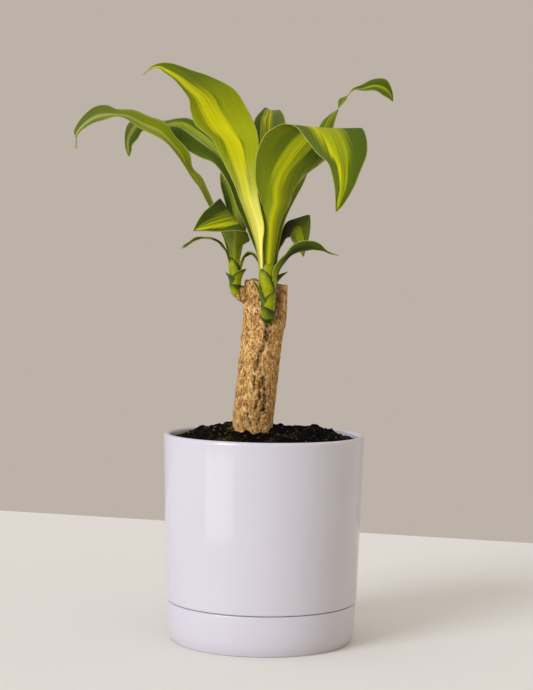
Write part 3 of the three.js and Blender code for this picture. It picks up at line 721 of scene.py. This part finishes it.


# Young leaf base: smooth, waxy and yellow-green, darker towards its rim, with painted shade darkening its
# overlapping edges. Its veins run up it as faint streaks, 14 to a half turn, which is under 2 mm apart.
def sheathMaterial(name, stops):
    material, tree = newMaterial(name)
    spot = addNode(tree, "TexCoord").outputs["Object"]
    below = addNode(tree, "Attribute", attribute_name="belowRim").outputs["Fac"]
    around = addNode(tree, "Attribute", attribute_name="aroundStem").outputs["Fac"]
    streaks = addNode(
        tree, "TexNoise", {"W": around, "Scale": 14, "Detail": 3}, noise_dimensions="1D",
    ).outputs["Fac"]
    shift = addNode(tree, "MapRange", {"Value": streaks, "To Min": -0.12, "To Max": 0.12}).outputs["Result"]
    shifted = addNode(tree, "Math", {0: below, 1: shift}, operation="ADD").outputs["Value"]
    side = addNode(tree, "Math", {0: around}, operation="ABSOLUTE").outputs["Value"]
    # painted shade: darker round the stem from the tip, towards the overlapping edges
    overlapShade = addNode(tree, "MapRange", {
        "Value": side, "From Min": 0.35, "From Max": 0.6, "To Max": 0.28,
    }).outputs["Result"]
    shifted = addNode(tree, "Math", {0: shifted, 1: overlapShade}, operation="SUBTRACT").outputs["Value"]
    tone = addNode(tree, "ValToRGB", {"Fac": shifted}, stops).outputs["Color"]
    cloud = addNode(tree, "TexNoise", {"Vector": spot, "Scale": grainsOf(4.5), "Detail": 3}).outputs["Fac"]
    shade = addNode(tree, "ValToRGB", {"Fac": cloud}, [(0.35, "#c4c4c4"), (0.6, "#ffffff")]).outputs["Color"]
    tone = mixed(tree, 0.6, tone, shade, "MULTIPLY")
    bump = addNode(tree, "Bump", {"Height": streaks, "Strength": 0.3, "Distance": 0.0003}).outputs["Normal"]
    finishMaterial(tree, {"Base Color": tone, "Roughness": 0.45, "Specular IOR Level": 0.16, "Normal": bump})
    return material


def makeShoots():
    # Two skins are darker copies of the green one, painted shade for the sheaths that lie in shade
    skins = {
        "green": sheathMaterial("youngLeafSheath", [
            (0, "#3a4c08"), (0.08, "#4b5e00"), (0.24, "#717c00"), (0.52, "#979e00"),
        ]),
        "olive": sheathMaterial("shadedOliveLeafSheath", [
            (0, "#344600"), (0.08, "#435600"), (0.3, "#5b6800"), (0.7, "#7a8300"),
        ]),
        "paintedShade": sheathMaterial("shadedLeafSheath", [(0, "#384a02"), (0.5, "#455800"), (1, "#5c6c00")]),
        "dry": sheathMaterial("driedLeafSheath", [(0, "#2c200c"), (0.5, "#3f3a0c"), (1, "#667400")]),
    }
    margin = sheathMaterial("paleSheathEdge", [(0, "#b9c464"), (1, "#a4ac3a")])
    stem = sheathMaterial("youngStem", [(0, "#929a00"), (1, "#a2a800")])
    for node, shoot in shoots.items():
        side = node.split("_")[0]
        core = {"stations": shoot["core"], "around": 48, "along": 60}
        standsFor(addObject(side + "_stem_core", rolledTube(core, coreShape), stem), "green_sheath", node)
        for number, sheath in enumerate(shoot["sheaths"], 1):
            skin = skins[sheath.get("skin", "green")]
            name = side + "_sheath_" + str(number)
            standsFor(makeSheath(name, shoot["core"], sheath, (skin, margin)), "green_sheath", node)


# Leaves. Edges are pairs of points across from each other, from the root to the tip, the left edge first
# when the upper face is seen with the tip up. gutter is how deep the midrib lies as a share of the half
# width, at the root and beyond, and fold is where it lies across the blade. upper and under name looks,
# wave is how high the edges wave, and across how many faces lie side by side.
leaves = {
    "front_leaf_arching": {
        "upper": "archStriped", "under": "archUnder", "wave": 0.6,
        "gutter": (0.55, 0.035),
        "edges": [
            (5, -26, 331, -3, -27, 331), (8, -25, 355, -5, -27, 355), (12, -26, 375, -7, -28, 376),
            (19, -28, 388.5, -7, -31, 392), (22.6, -31, 401, -11, -36, 405),
            (32, -34, 413.5, -12, -41, 420), (46, -39, 424, -10, -46, 434), (58, -44, 434, -4, -52, 447),
            (67, -50, 444.5, 5, -58, 453.3), (75, -56, 451.7, 13, -64, 454.6),
            (80, -62, 451.6, 22.6, -70, 452.3), (83, -74, 441, 31.2, -78, 441),
            (82.2, -84, 428, 39.8, -87, 428.7), (76.4, -92.6, 413, 49.6, -93.6, 419.6),
            (71.2, -97.4, 400, 54.4, -98.2, 402.6), (63, -100.3, 386, 55.6, -100.9, 387.6),
            (56.2, -101, 378.6, 56.2, -101, 378.6),
        ],
    },
    "front_leaf_tall": {
        "upper": "broadGold", "under": "grayUnder",
        "gutter": (0.5, 0.14), "fold": (0.5, 0.34),
        "edges": [
            (-6.5, -31, 331, -3.5, -31, 331), (-10, -33, 351, -4, -33, 353),
            (-15, -33, 366, -3, -34, 369), (-21, -32, 382, -6.5, -33, 385),
            (-26, -30, 394, -8.6, -30, 395), (-30, -27, 405, -9.2, -25, 405.5),
            (-38, -22, 421, -10, -18, 422), (-50, -17, 444, -9.3, -9, 443),
            (-65, -14, 457, -12.2, -4, 457.8), (-70.2, -13, 470, -20.3, 0, 474.4),
            (-71.6, -12, 480, -32.2, 4, 491.4), (-78.6, -10, 489.6, -54, 7, 503.2),
            (-86, -6, 498.4, -71, 7, 508.6), (-94.6, -2, 504.8, -87, 6, 513.4),
            (-99.8, 0, 508.4, -97.5, 4, 513.9), (-106, 1, 507.4, -105.4, 3.4, 511),
            (-114.6, 0.5, 501.4, -114.6, 0.5, 501.4),
        ],
    },
    "front_leaf_twisted": {
        "upper": "narrowStriped", "under": "grayUnder",
        "gutter": (0.3, 0.14),
        "edges": [
            (7, -21, 331, 2, -20, 331), (11, -17, 356, 3, -17, 356), (15.4, -14, 375, 4, -14, 376),
            (22.8, -10, 392, 8, -10, 392), (31, -4, 408, 14, -4, 408), (37, 3, 423, 22, 4, 424),
            (46, 12, 439, 32, 13, 440), (55, 19, 452, 41, 21, 454), (59, 26, 465, 48, 29, 467),
            (61.6, 29, 473.6, 56.8, 35, 475.4), (62.6, 40, 478.8, 61, 36.5, 478),
            (63, 47, 488.4, 69.2, 41.8, 487.6), (71, 51, 493, 72, 48, 493), (76, 57, 500, 78, 53, 498),
            (85, 66, 504.6, 87, 56, 498), (96, 72, 511, 97, 60, 499), (108, 74, 511.4, 106, 64, 494),
            (113.7, 73, 500.6, 112, 67, 491), (114.5, 70, 489.4, 114.5, 70, 489.4),
        ],
    },
    "front_leaf_rear": {
        "upper": "rearStriped", "under": "grayUnder",
        "gutter": (0.55, 0.24),
        "edges": [
            (-2, -21, 331, 3, -21, 331), (-6, -15, 357, 7, -15, 357), (-9, -5, 386, 11, -5, 386),
            (-11, 6, 413, 13, 6, 413), (-14, 18, 439, 15, 18, 439), (-15, 30, 458.6, 15.6, 30, 459),
            (-13, 42, 470.4, 13.4, 42, 471.6), (-7.6, 55, 478.4, 10.4, 55, 478),
            (-3.8, 72, 482.4, 8.6, 72, 480.6), (-3, 90, 478, 9, 90, 477), (-1, 104, 465, 7, 104, 464),
            (2, 111.6, 446, 5, 111.6, 447), (4, 113.4, 432, 4, 113.4, 432),
        ],
    },
    "front_leaf_left": {
        "upper": "halfDark", "under": "grayUnder",
        "gutter": (0.5, 0.22),
        "edges": [
            (-4, -25, 331, -1, -24, 331), (-12.6, -19, 353, -7.6, -17, 355),
            (-20.6, -12, 372, -13, -9, 375), (-28, -6, 387, -18, -1, 393), (-34, 0, 403, -26, 7, 411),
            (-42, 6, 417, -32, 14, 425), (-51, 12, 427, -41, 20, 439), (-62, 17, 431, -51, 26, 451),
            (-73, 21, 437.4, -62, 32, 461), (-81.4, 25, 444.6, -73, 35, 468),
            (-88.4, 29, 453, -84, 37, 468), (-99.6, 33, 452.8, -96, 39, 466),
            (-109, 36, 454, -109, 41, 467), (-116, 38, 456, -121, 44, 469),
            (-120, 39, 449, -130, 46, 463), (-125, 40, 443, -133, 46, 453),
            (-126, 41, 438, -132, 45, 440), (-128, 43, 432, -128, 43, 432),
        ],
    },
    "front_leaf_folded": {
        "upper": "foldedStriped", "under": "plumUnder",
        "gutter": (0.4, 0.08),
        "edges": [
            (3, -21, 331, 5.4, -23, 330), (6, -20, 338, 8.2, -22, 334.4),
            (8, -14, 350, 10.2, -19, 347.4), (11, -8, 360, 14.4, -16, 355.2),
            (16, -3, 373, 17, -13, 359), (26, 2, 378, 19, -11, 360), (36, 5, 381, 20, -10, 360),
            (38, 1, 378, 22, -12, 356), (38, -3, 368, 26, -14, 351), (36, -7, 357, 29, -15, 347),
            (32, -13, 342, 32, -13, 342),
        ],
    },
    "front_leaf_small": {
        "upper": "plainGreen", "under": "plainGreen",
        "gutter": (0.5, 0.35),
        "edges": [
            (7.5, -27, 314, 5, -30, 316), (9.3, -29.5, 321, 5, -33, 322),
            (10.5, -31.5, 329, 5.2, -35.5, 331), (15, -34, 336.6, 9.4, -39, 338.6),
            (20, -35, 342.6, 14.4, -41, 343.6), (28, -36, 347, 20.4, -42, 351.6),
            (35, -37, 348, 28, -42, 356), (41, -37, 349, 37, -42, 357), (48, -38, 348, 46, -42, 354),
            (54, -38, 346, 53, -40, 348), (63, -38, 344, 63, -38, 344),
        ],
    },
    "side_leaf_long": {
        "upper": "dullLong", "under": "dullLong",
        "gutter": (0.35, 0.22), "wave": 0.9, "across": 12,
        "edges": [
            (-32, -10, 331, -28, -10, 331), (-37, -8, 352, -32, -4, 353),
            (-42, -5, 365.2, -38.8, 0, 366.4), (-48, -2, 378.2, -45.4, 4, 379.2),
            (-54, 1, 389, -49, 7, 390), (-62, 3, 403, -55, 10, 404), (-68, 4, 411, -60, 12, 414),
            (-74, 5, 421, -69, 14, 422), (-82, 6, 431, -72, 15, 436), (-93, 7, 443, -84, 16, 450),
            (-104, 7, 450, -94, 18, 463), (-116, 7, 456, -108, 18, 467), (-128, 7, 463, -123, 18, 473),
            (-138, 6, 465, -137, 17, 474), (-149, 4, 462, -147, 15, 477), (-158, 3, 459, -158, 13, 474),
            (-167, 2, 452, -169, 10, 464), (-171, 1, 446, -175, 6, 453),
            (-172, 1, 442, -172.8, 3, 445.4), (-171.8, 0, 434.6, -171.8, 0, 434.6),
        ],
    },
    "side_leaf_folded": {
        "upper": "bentStriped", "under": "grayUnder",
        "gutter": (0.5, 0.06),
        "edges": [
            (-26, -13, 331, -31, -13, 331), (-24, -13, 346, -33, -13, 346),
            (-22, -12, 352, -36, -12, 355), (-16, -12, 356, -40, -12, 365),
            (-16, -15, 359, -42, -14, 379), (-17, -19, 361, -42, -17, 389),
            (-19, -24, 364, -42, -21, 393), (-22, -31, 364, -45, -27, 391),
            (-31, -38, 364, -50, -33, 386), (-43, -43, 363, -56, -39, 380),
            (-54, -46, 363, -61, -43, 372), (-65, -45, 363, -65, -45, 363),
        ],
    },
    "side_leaf_upright": {
        "upper": "halfOlive", "under": "grayUnder",
        "gutter": (0.5, 0.2),
        "edges": [
            (-31, -9, 331, -26, -9, 331), (-33, -3, 352, -22, -3, 352), (-36, 2, 370, -19, 0, 370),
            (-37, 6, 383, -22, 3, 384), (-40, 8, 394, -25, 6, 396), (-43, 10, 405, -32, 8, 405),
            (-44, 12, 413, -39, 10, 413), (-43, 13, 419, -43, 13, 419),
        ],
    },
    "side_leaf_thin": {
        "upper": "plainGreen", "under": "grayUnder",
        "gutter": (0.5, 0.35),
        "edges": [
            (-32, -13, 330, -28, -12, 331), (-36.8, -17, 346, -31.6, -13, 344),
            (-40.4, -19, 351, -36.4, -15, 349), (-45, -21, 355, -42, -16, 356),
            (-52, -23, 358, -53, -17, 359), (-62, -25, 356, -62, -19, 359),
            (-68, -25, 352, -69, -20, 355), (-73, -24, 349, -74, -22, 351),
            (-76, -23, 348, -76, -23, 348),
        ],
    },
    "side_leaf_small": {
        "upper": "plainGreen", "under": "plainGreen",
        "gutter": (0.5, 0.35),
        "edges": [
            (-25, -12, 325, -28, -12, 326), (-23, -13, 330, -26, -13, 331),
            (-21, -13, 338, -24, -14, 338), (-19, -13, 342, -21, -16, 344),
            (-15, -15, 344, -17, -18, 347), (-12, -17, 343, -12, -20, 346),
            (-10, -19, 340, -8, -21, 342), (-8, -20, 337, -7, -21, 337), (-7, -21, 332, -7, -21, 332),
        ],
    },
}
# Spans are shares of the leaf's length within which one thing gives way to the next, and turns are the
# radians that pleats go through from the midrib to a margin, and waves from the root to the tip.
blade = {
    "thickness": 0.55,
    "across": 28,
    "rowsPerStation": 6,
    "sink": 0.4,  # how much of a station's length the root goes on into the sheath
    "end": 0.992,
    "step": 0.01,  # either way, to find the way ahead
    "gutterPower": 1.35,
    "gutterSpan": (0.05, 0.4),
    "fold": (0.5, 0.5),
    "foldSpan": (0.4, 0.7),
    "pleat": {"height": 0.07, "turns": 26, "fullWidth": 40},
    "wave": 0.4,
    "waves": {"turns": 31, "rightShift": 2, "span": (0.15, 0.4)},
    "lookSpans": (0.08, 0.42, 0.55, 0.82),  # root to middle, then middle to tip
}


# A point of the blade, u across it and v along it, with the upward direction, where it lies from the
# midrib (-1 to 1) and how wide the blade is there.
def bladePoint(leaf, u, v):
    left = [Vector(edge[:3]) for edge in leaf["edges"]]
    right = [Vector(edge[3:]) for edge in leaf["edges"]]
    a, b = along(left, v), along(right, v)
    before, after = max(0, v - blade["step"]), min(1, v + blade["step"])
    ahead = along(left, after) + along(right, after) - along(left, before) - along(right, before)
    across = b - a
    width = across.length
    upper = across.cross(ahead).normalized()
    depth = mixNumbers(*leaf["gutter"], smoothStep(*blade["gutterSpan"], v)) * width / 2
    rib = mixNumbers(*leaf.get("fold", blade["fold"]), smoothStep(*blade["foldSpan"], v))
    share = 2 * u - 1
    place = rib * (1 + share) if share < 0 else rib + (1 - rib) * share
    sag = depth * (1 - abs(share) ** blade["gutterPower"])
    return a + across * place - upper * sag, upper, share, width


# How far the veins' pleats and the waves of the edges lift a point. phase sets the leaves apart.
def rippleAt(leaf, v, share, width, phase):
    pleat, waves = blade["pleat"], blade["waves"]
    ridges = math.cos(share * pleat["turns"]) * (1 - abs(share) ** 8)
    shift = phase + (waves["rightShift"] if share > 0 else 0)
    swing = abs(share) ** 3 * math.sin(v * waves["turns"] + shift) * smoothStep(*waves["span"], v)
    height = pleat["height"] * min(1, width / pleat["fullWidth"]) ** 2
    return height * ridges + leaf.get("wave", blade["wave"]) * swing


def makeLeaf(name, leaf, faces):
    bm = bmesh.new()
    stations = len(leaf["edges"])
    columns, rows = leaf.get("across", blade["across"]), blade["rowsPerStation"] * stations
    bmesh.ops.create_grid(bm, x_segments=columns, y_segments=rows, size=0.5)
    layer = bm.loops.layers.uv.new("leafUv")
    for face in bm.faces:
        for loop in face.loops:
            loop[layer].uv = (loop.vert.co.x + 0.5, loop.vert.co.y + 0.5)
    phase = draw.uniform(0, 9)
    start = -blade["sink"] / (stations - 1)
    veins = bm.verts.layers.float_vector.new("acrossVeins")
    inwards = bm.verts.layers.float.new("fromMargin")
    middles = [(Vector(edge[:3]) + Vector(edge[3:])) / 2 for edge in leaf["edges"]]
    length = sum((b - a).length for a, b in zip(middles, middles[1:]))
    for vert in bm.verts:
        u, v = vert.co.x + 0.5, mixNumbers(start, blade["end"], vert.co.y + 0.5)
        spot, upper, share, width = bladePoint(leaf, u, v)
        vert.co = (spot + upper * rippleAt(leaf, v, share, width, phase)) * mm
        vert[veins] = ((share * width / 2 + phase * 10) * mm, v * length * mm, 0)
        vert[inwards] = (1 - abs(share)) * width / 2  # millimetres
    leafObject = addObject(name, bm, *faces)
    solid = leafObject.modifiers.new("thickness", "SOLIDIFY")
    solid.thickness, solid.offset = blade["thickness"] * mm, 0
    solid.material_offset, solid.material_offset_rim = 1, 2
    smooth = leafObject.modifiers.new("smooth", "SUBSURF")
    smooth.levels = smooth.render_levels = 1
    return leafObject


leafColours = {
    "lemon": "#eee46a", "gold": "#c9c700", "lime": "#9aa200", "olive": "#7a8500", "dusk": "#657000",
    "moss": "#556600", "green": "#445700", "deep": "#384800", "shade": "#273300", "sage": "#5c6820",
    "ash": "#8f9550", "straw": "#a9ad50", "brown": "#4a3d14", "plum": "#2e2912",
}
# The colours across the blade, from its left edge (0) to its right edge (1), near the root, halfway and
# at the tip. spans takes the place of the blade's own lookSpans.
leafLooks = {
    "broadGold": {
        "root": [(0, "lime"), (0.12, "lemon"), (0.85, "lemon"), (1, "gold")],
        "middle": [
            (0, "lime"), (0.2, "olive"), (0.3, "gold"), (0.59, "gold"), (0.64, "olive"), (0.69, "lime"),
            (1, "lime"),
        ],
        "tip": [
            (0, "sage"), (0.16, "olive"), (0.26, "gold"), (0.46, "gold"), (0.54, "dusk"), (1, "moss"),
        ],
        "spans": (0.08, 0.42, 0.52, 0.72),
    },
    # On the rising part the right side is painted deep green as the shade under the drooping part, and the
    # root's right half is painted lighter, painted light against its gutter's shade.
    "archUnder": {
        "root": [
            (0, "ash"), (0.06, "olive"), (0.18, "lime"), (0.45, "gold"), (0.62, "lime"), (0.78, "olive"),
            (1, "moss"),
        ],
        "middle": [
            (0, "ash"), (0.05, "sage"), (0.14, "deep"), (0.32, "green"), (0.37, "lime"), (0.41, "olive"),
            (0.46, "lime"), (0.49, "gold"), (0.53, "lime"), (0.59, "lime"), (0.64, "moss"),
            (0.7, "moss"), (0.82, "dusk"), (1, "dusk"),
        ],
        "tip": [(0, "green"), (0.4, "moss"), (0.5, "lime"), (0.6, "moss"), (1, "sage")],
    },
    "archStriped": {
        "root": [(0, "moss"), (0.4, "lime"), (0.6, "lime"), (1, "moss")],
        "middle": [
            (0, "green"), (0.27, "green"), (0.32, "lime"), (0.38, "olive"), (0.44, "lime"),
            (0.58, "lime"), (0.64, "olive"), (0.7, "gold"), (0.8, "lime"), (0.86, "moss"), (1, "sage"),
        ],
        "tip": [
            (0, "green"), (0.34, "moss"), (0.4, "lime"), (0.5, "olive"), (0.56, "lime"), (0.68, "gold"),
            (0.76, "moss"), (1, "sage"),
        ],
    },
    "rearStriped": {
        "root": [(0, "moss"), (0.5, "lime"), (1, "moss")],
        "middle": [
            (0, "moss"), (0.16, "green"), (0.23, "lime"), (0.3, "olive"), (0.36, "gold"), (0.41, "moss"),
            (0.46, "gold"), (0.52, "moss"), (0.58, "lime"), (0.64, "sage"), (1, "sage"),
        ],
        "tip": [(0, "moss"), (0.3, "moss"), (0.4, "lime"), (0.48, "moss"), (0.54, "olive"), (1, "sage")],
    },
    "narrowStriped": {
        "root": [(0, "moss"), (0.5, "olive"), (1, "moss")],
        "middle": [(0, "sage"), (0.45, "moss"), (0.5, "ash"), (0.55, "moss"), (1, "sage")],
        "tip": [
            (0, "moss"), (0.42, "green"), (0.48, "lime"), (0.66, "olive"), (0.72, "moss"), (1, "moss"),
        ],
    },
    # Its root is painted dark green, darkest at its upper edge, as the painted shade of the tall front leaf
    # beside it.
    "halfDark": {
        "root": [(0, "moss"), (0.4, "dusk"), (0.6, "green"), (1, "shade")],
        "middle": [
            (0, "sage"), (0.12, "moss"), (0.3, "green"), (0.5, "green"), (0.56, "ash"), (0.6, "dusk"),
            (0.66, "lime"), (0.72, "olive"), (0.77, "lime"), (0.84, "moss"), (0.92, "green"),
            (1, "sage"),
        ],
        "tip": [
            (0, "green"), (0.32, "moss"), (0.44, "sage"), (0.56, "ash"), (0.66, "lime"), (0.78, "sage"),
            (1, "sage"),
        ],
    },
    # From the root to past the middle the blade rises under its own fold, and is painted plum and near black
    # there as painted shade under the drooping part.
    "foldedStriped": {
        "root": [(0, "plum"), (0.5, "brown"), (1, "shade")],
        "middle": [(0, "ash"), (0.06, "shade"), (0.4, "plum"), (0.6, "plum"), (1, "shade")],
        "tip": [
            (0, "moss"), (0.2, "sage"), (0.44, "moss"), (0.52, "lime"), (0.58, "olive"), (0.65, "lime"),
            (0.72, "olive"), (0.8, "lime"), (0.87, "moss"), (1, "ash"),
        ],
        "spans": (0.08, 0.42, 0.5, 0.62),
    },
    # The under face of the folded leaf, painted plum, brown and near black as painted shade under its fold.
    "plumUnder": {
        "root": [(0, "plum"), (0.5, "brown"), (1, "shade")],
        "middle": [(0, "brown"), (0.25, "plum"), (0.5, "shade"), (0.8, "deep"), (1, "ash")],
        "tip": [(0, "deep"), (0.5, "moss"), (1, "deep")],
    },
    "plainGreen": {
        "root": [(0, "moss"), (0.5, "lime"), (1, "moss")],
        "middle": [(0, "moss"), (0.36, "shade"), (0.5, "plum"), (0.6, "shade"), (1, "moss")],
        "tip": [(0, "deep"), (0.5, "green"), (1, "shade")],
    },
    "dullLong": {
        "root": [(0, "gold"), (0.24, "lime"), (0.5, "ash"), (1, "lime")],
        "middle": [
            (0, "straw"), (0.07, "lime"), (0.18, "olive"), (0.3, "ash"), (0.39, "straw"), (0.46, "lime"),
            (0.6, "olive"), (0.85, "olive"), (1, "ash"),
        ],
        "tip": [
            (0, "moss"), (0.2, "sage"), (0.32, "ash"), (0.4, "straw"), (0.49, "ash"), (0.6, "sage"),
            (1, "sage"),
        ],
    },
    "bentStriped": {
        "root": [(0, "moss"), (0.5, "lime"), (1, "moss")],
        "middle": [
            (0, "moss"), (0.12, "green"), (0.2, "dusk"), (0.26, "gold"), (0.34, "lime"), (0.39, "dusk"),
            (0.44, "lime"), (0.5, "moss"), (0.55, "lime"), (0.6, "dusk"), (0.66, "olive"),
            (0.73, "deep"), (1, "shade"),
        ],
        "tip": [
            (0, "moss"), (0.16, "green"), (0.24, "gold"), (0.34, "lime"), (0.39, "dusk"), (0.46, "gold"),
            (0.52, "moss"), (0.58, "olive"), (0.66, "deep"), (1, "deep"),
        ],
    },
    "halfOlive": {
        "root": [(0, "ash"), (0.15, "olive"), (0.5, "dusk"), (1, "moss")],
        "middle": [
            (0, "sage"), (0.06, "shade"), (0.3, "deep"), (0.42, "olive"), (0.9, "olive"), (1, "ash"),
        ],
        "tip": [(0, "deep"), (0.5, "moss"), (1, "olive")],
    },
    "grayUnder": {
        "root": [(0, "dusk"), (0.5, "olive"), (1, "dusk")],
        "middle": [
            (0, "moss"), (0.28, "moss"), (0.36, "olive"), (0.44, "dusk"), (0.5, "ash"), (0.56, "olive"),
            (0.64, "sage"), (1, "moss"),
        ],
        "tip": [(0, "moss"), (0.42, "sage"), (0.5, "ash"), (0.58, "sage"), (1, "moss")],
    },
}


# A living strap leaf with a waxy skin: satin, striped lengthwise in yellow and dark green that follow
# its parallel veins, 0.72 mm apart, so that the stripes' edges break up into streaks 2 mm wide. Its
# margin is a pale line, and its very tip has dried.
def leafMaterial(name, looks):
    material, tree = newMaterial(name)
    place = addNode(tree, "UVMap", uv_map="leafUv").outputs["UV"]
    apart = addNode(tree, "SeparateXYZ", {"Vector": place})
    wide = addNode(tree, "Mapping", {"Vector": place, "Scale": (3, 1.6, 1)}).outputs["Vector"]
    across = addNode(tree, "Attribute", attribute_name="acrossVeins").outputs["Vector"]
    streakScale, veinScale = (grainsOf(2), grainsOf(200), 1), (grainsOf(0.72), grainsOf(125), 1)
    streaky = addNode(tree, "Mapping", {"Vector": across, "Scale": streakScale}).outputs["Vector"]
    veins = addNode(tree, "Mapping", {"Vector": across, "Scale": veinScale}).outputs["Vector"]
    sway = addNode(tree, "TexNoise", {"Vector": wide, "Scale": 1, "Detail": 1}).outputs["Fac"]
    streak = addNode(tree, "TexNoise", {
        "Vector": streaky, "Scale": 1, "Detail": 3, "Roughness": 0.6,
    }).outputs["Fac"]
    vein = addNode(tree, "TexNoise", {"Vector": veins, "Scale": 1, "Detail": 1}).outputs["Fac"]
    swayed = addNode(tree, "MapRange", {"Value": sway, "To Min": -0.05, "To Max": 0.05}).outputs["Result"]
    jitter = addNode(tree, "MapRange", {
        "Value": streak, "From Min": 0.3, "From Max": 0.7, "To Min": -0.07, "To Max": 0.07,
    }).outputs["Result"]
    shifted = addNode(tree, "Math", {0: apart.outputs["X"], 1: swayed}, operation="ADD").outputs["Value"]
    shifted = addNode(tree, "Math", {0: shifted, 1: jitter}, operation="ADD").outputs["Value"]
    tones = {}
    for part in ("root", "middle", "tip"):
        coloured = [(spot, leafColours[colour]) for spot, colour in looks[part]]
        tones[part] = addNode(tree, "ValToRGB", {"Fac": shifted}, coloured).outputs["Color"]
    length = apart.outputs["Y"]
    low, high, later, last = looks.get("spans", blade["lookSpans"])
    changes = [(low, high, tones["middle"]), (later, last, tones["tip"])]
    changes.append((0.965, 0.995, linear(leafColours["brown"])))
    tone = tones["root"]
    for begins, ends, colour in changes:
        passed = addNode(tree, "MapRange", {"Value": length, "From Min": begins, "From Max": ends})
        tone = mixed(tree, passed.outputs["Result"], tone, colour)
    inwards = addNode(tree, "Attribute", attribute_name="fromMargin").outputs["Fac"]
    paled = addNode(tree, "MapRange", {
        "Value": inwards, "From Min": 0.3, "From Max": 0.9, "To Min": 0.75, "To Max": 0,
    }).outputs["Result"]
    tone = mixed(tree, paled, tone, linear(leafColours["straw"]))
    lineStops = [(0.36, "#b4b890"), (0.5, "#ffffff")]
    lineTone = addNode(tree, "ValToRGB", {"Fac": vein}, lineStops).outputs["Color"]
    tone = mixed(tree, 0.35, tone, lineTone, "MULTIPLY")
    bump = addNode(tree, "Bump", {"Height": vein, "Strength": 0.12, "Distance": 0.0002}).outputs["Normal"]
    finishMaterial(tree, {"Base Color": tone, "Roughness": 0.5, "Specular IOR Level": 0.14, "Normal": bump})
    return material


def makeLeaves():
    skins = {look: leafMaterial(look + "Leaf", tones) for look, tones in leafLooks.items()}
    plain = [(0, "ash"), (1, "ash")]
    margin = leafMaterial("paleLeafMargin", {"root": plain, "middle": plain, "tip": plain})
    for name, leaf in leaves.items():
        faces = (skins[leaf["upper"]], skins[leaf["under"]], margin)
        standsFor(makeLeaf("live_" + name, leaf, faces), "striped_leaf", name)


makeStudio()
makeFloor()
print("studio ready")
makePotAndSaucer()
print("pot and saucer done")
makeCane()
print("cane done")
makeSoil()
print("soil done")
makeShoots()
print("shoot stems done")
makeLeaves()
print("leaves done")
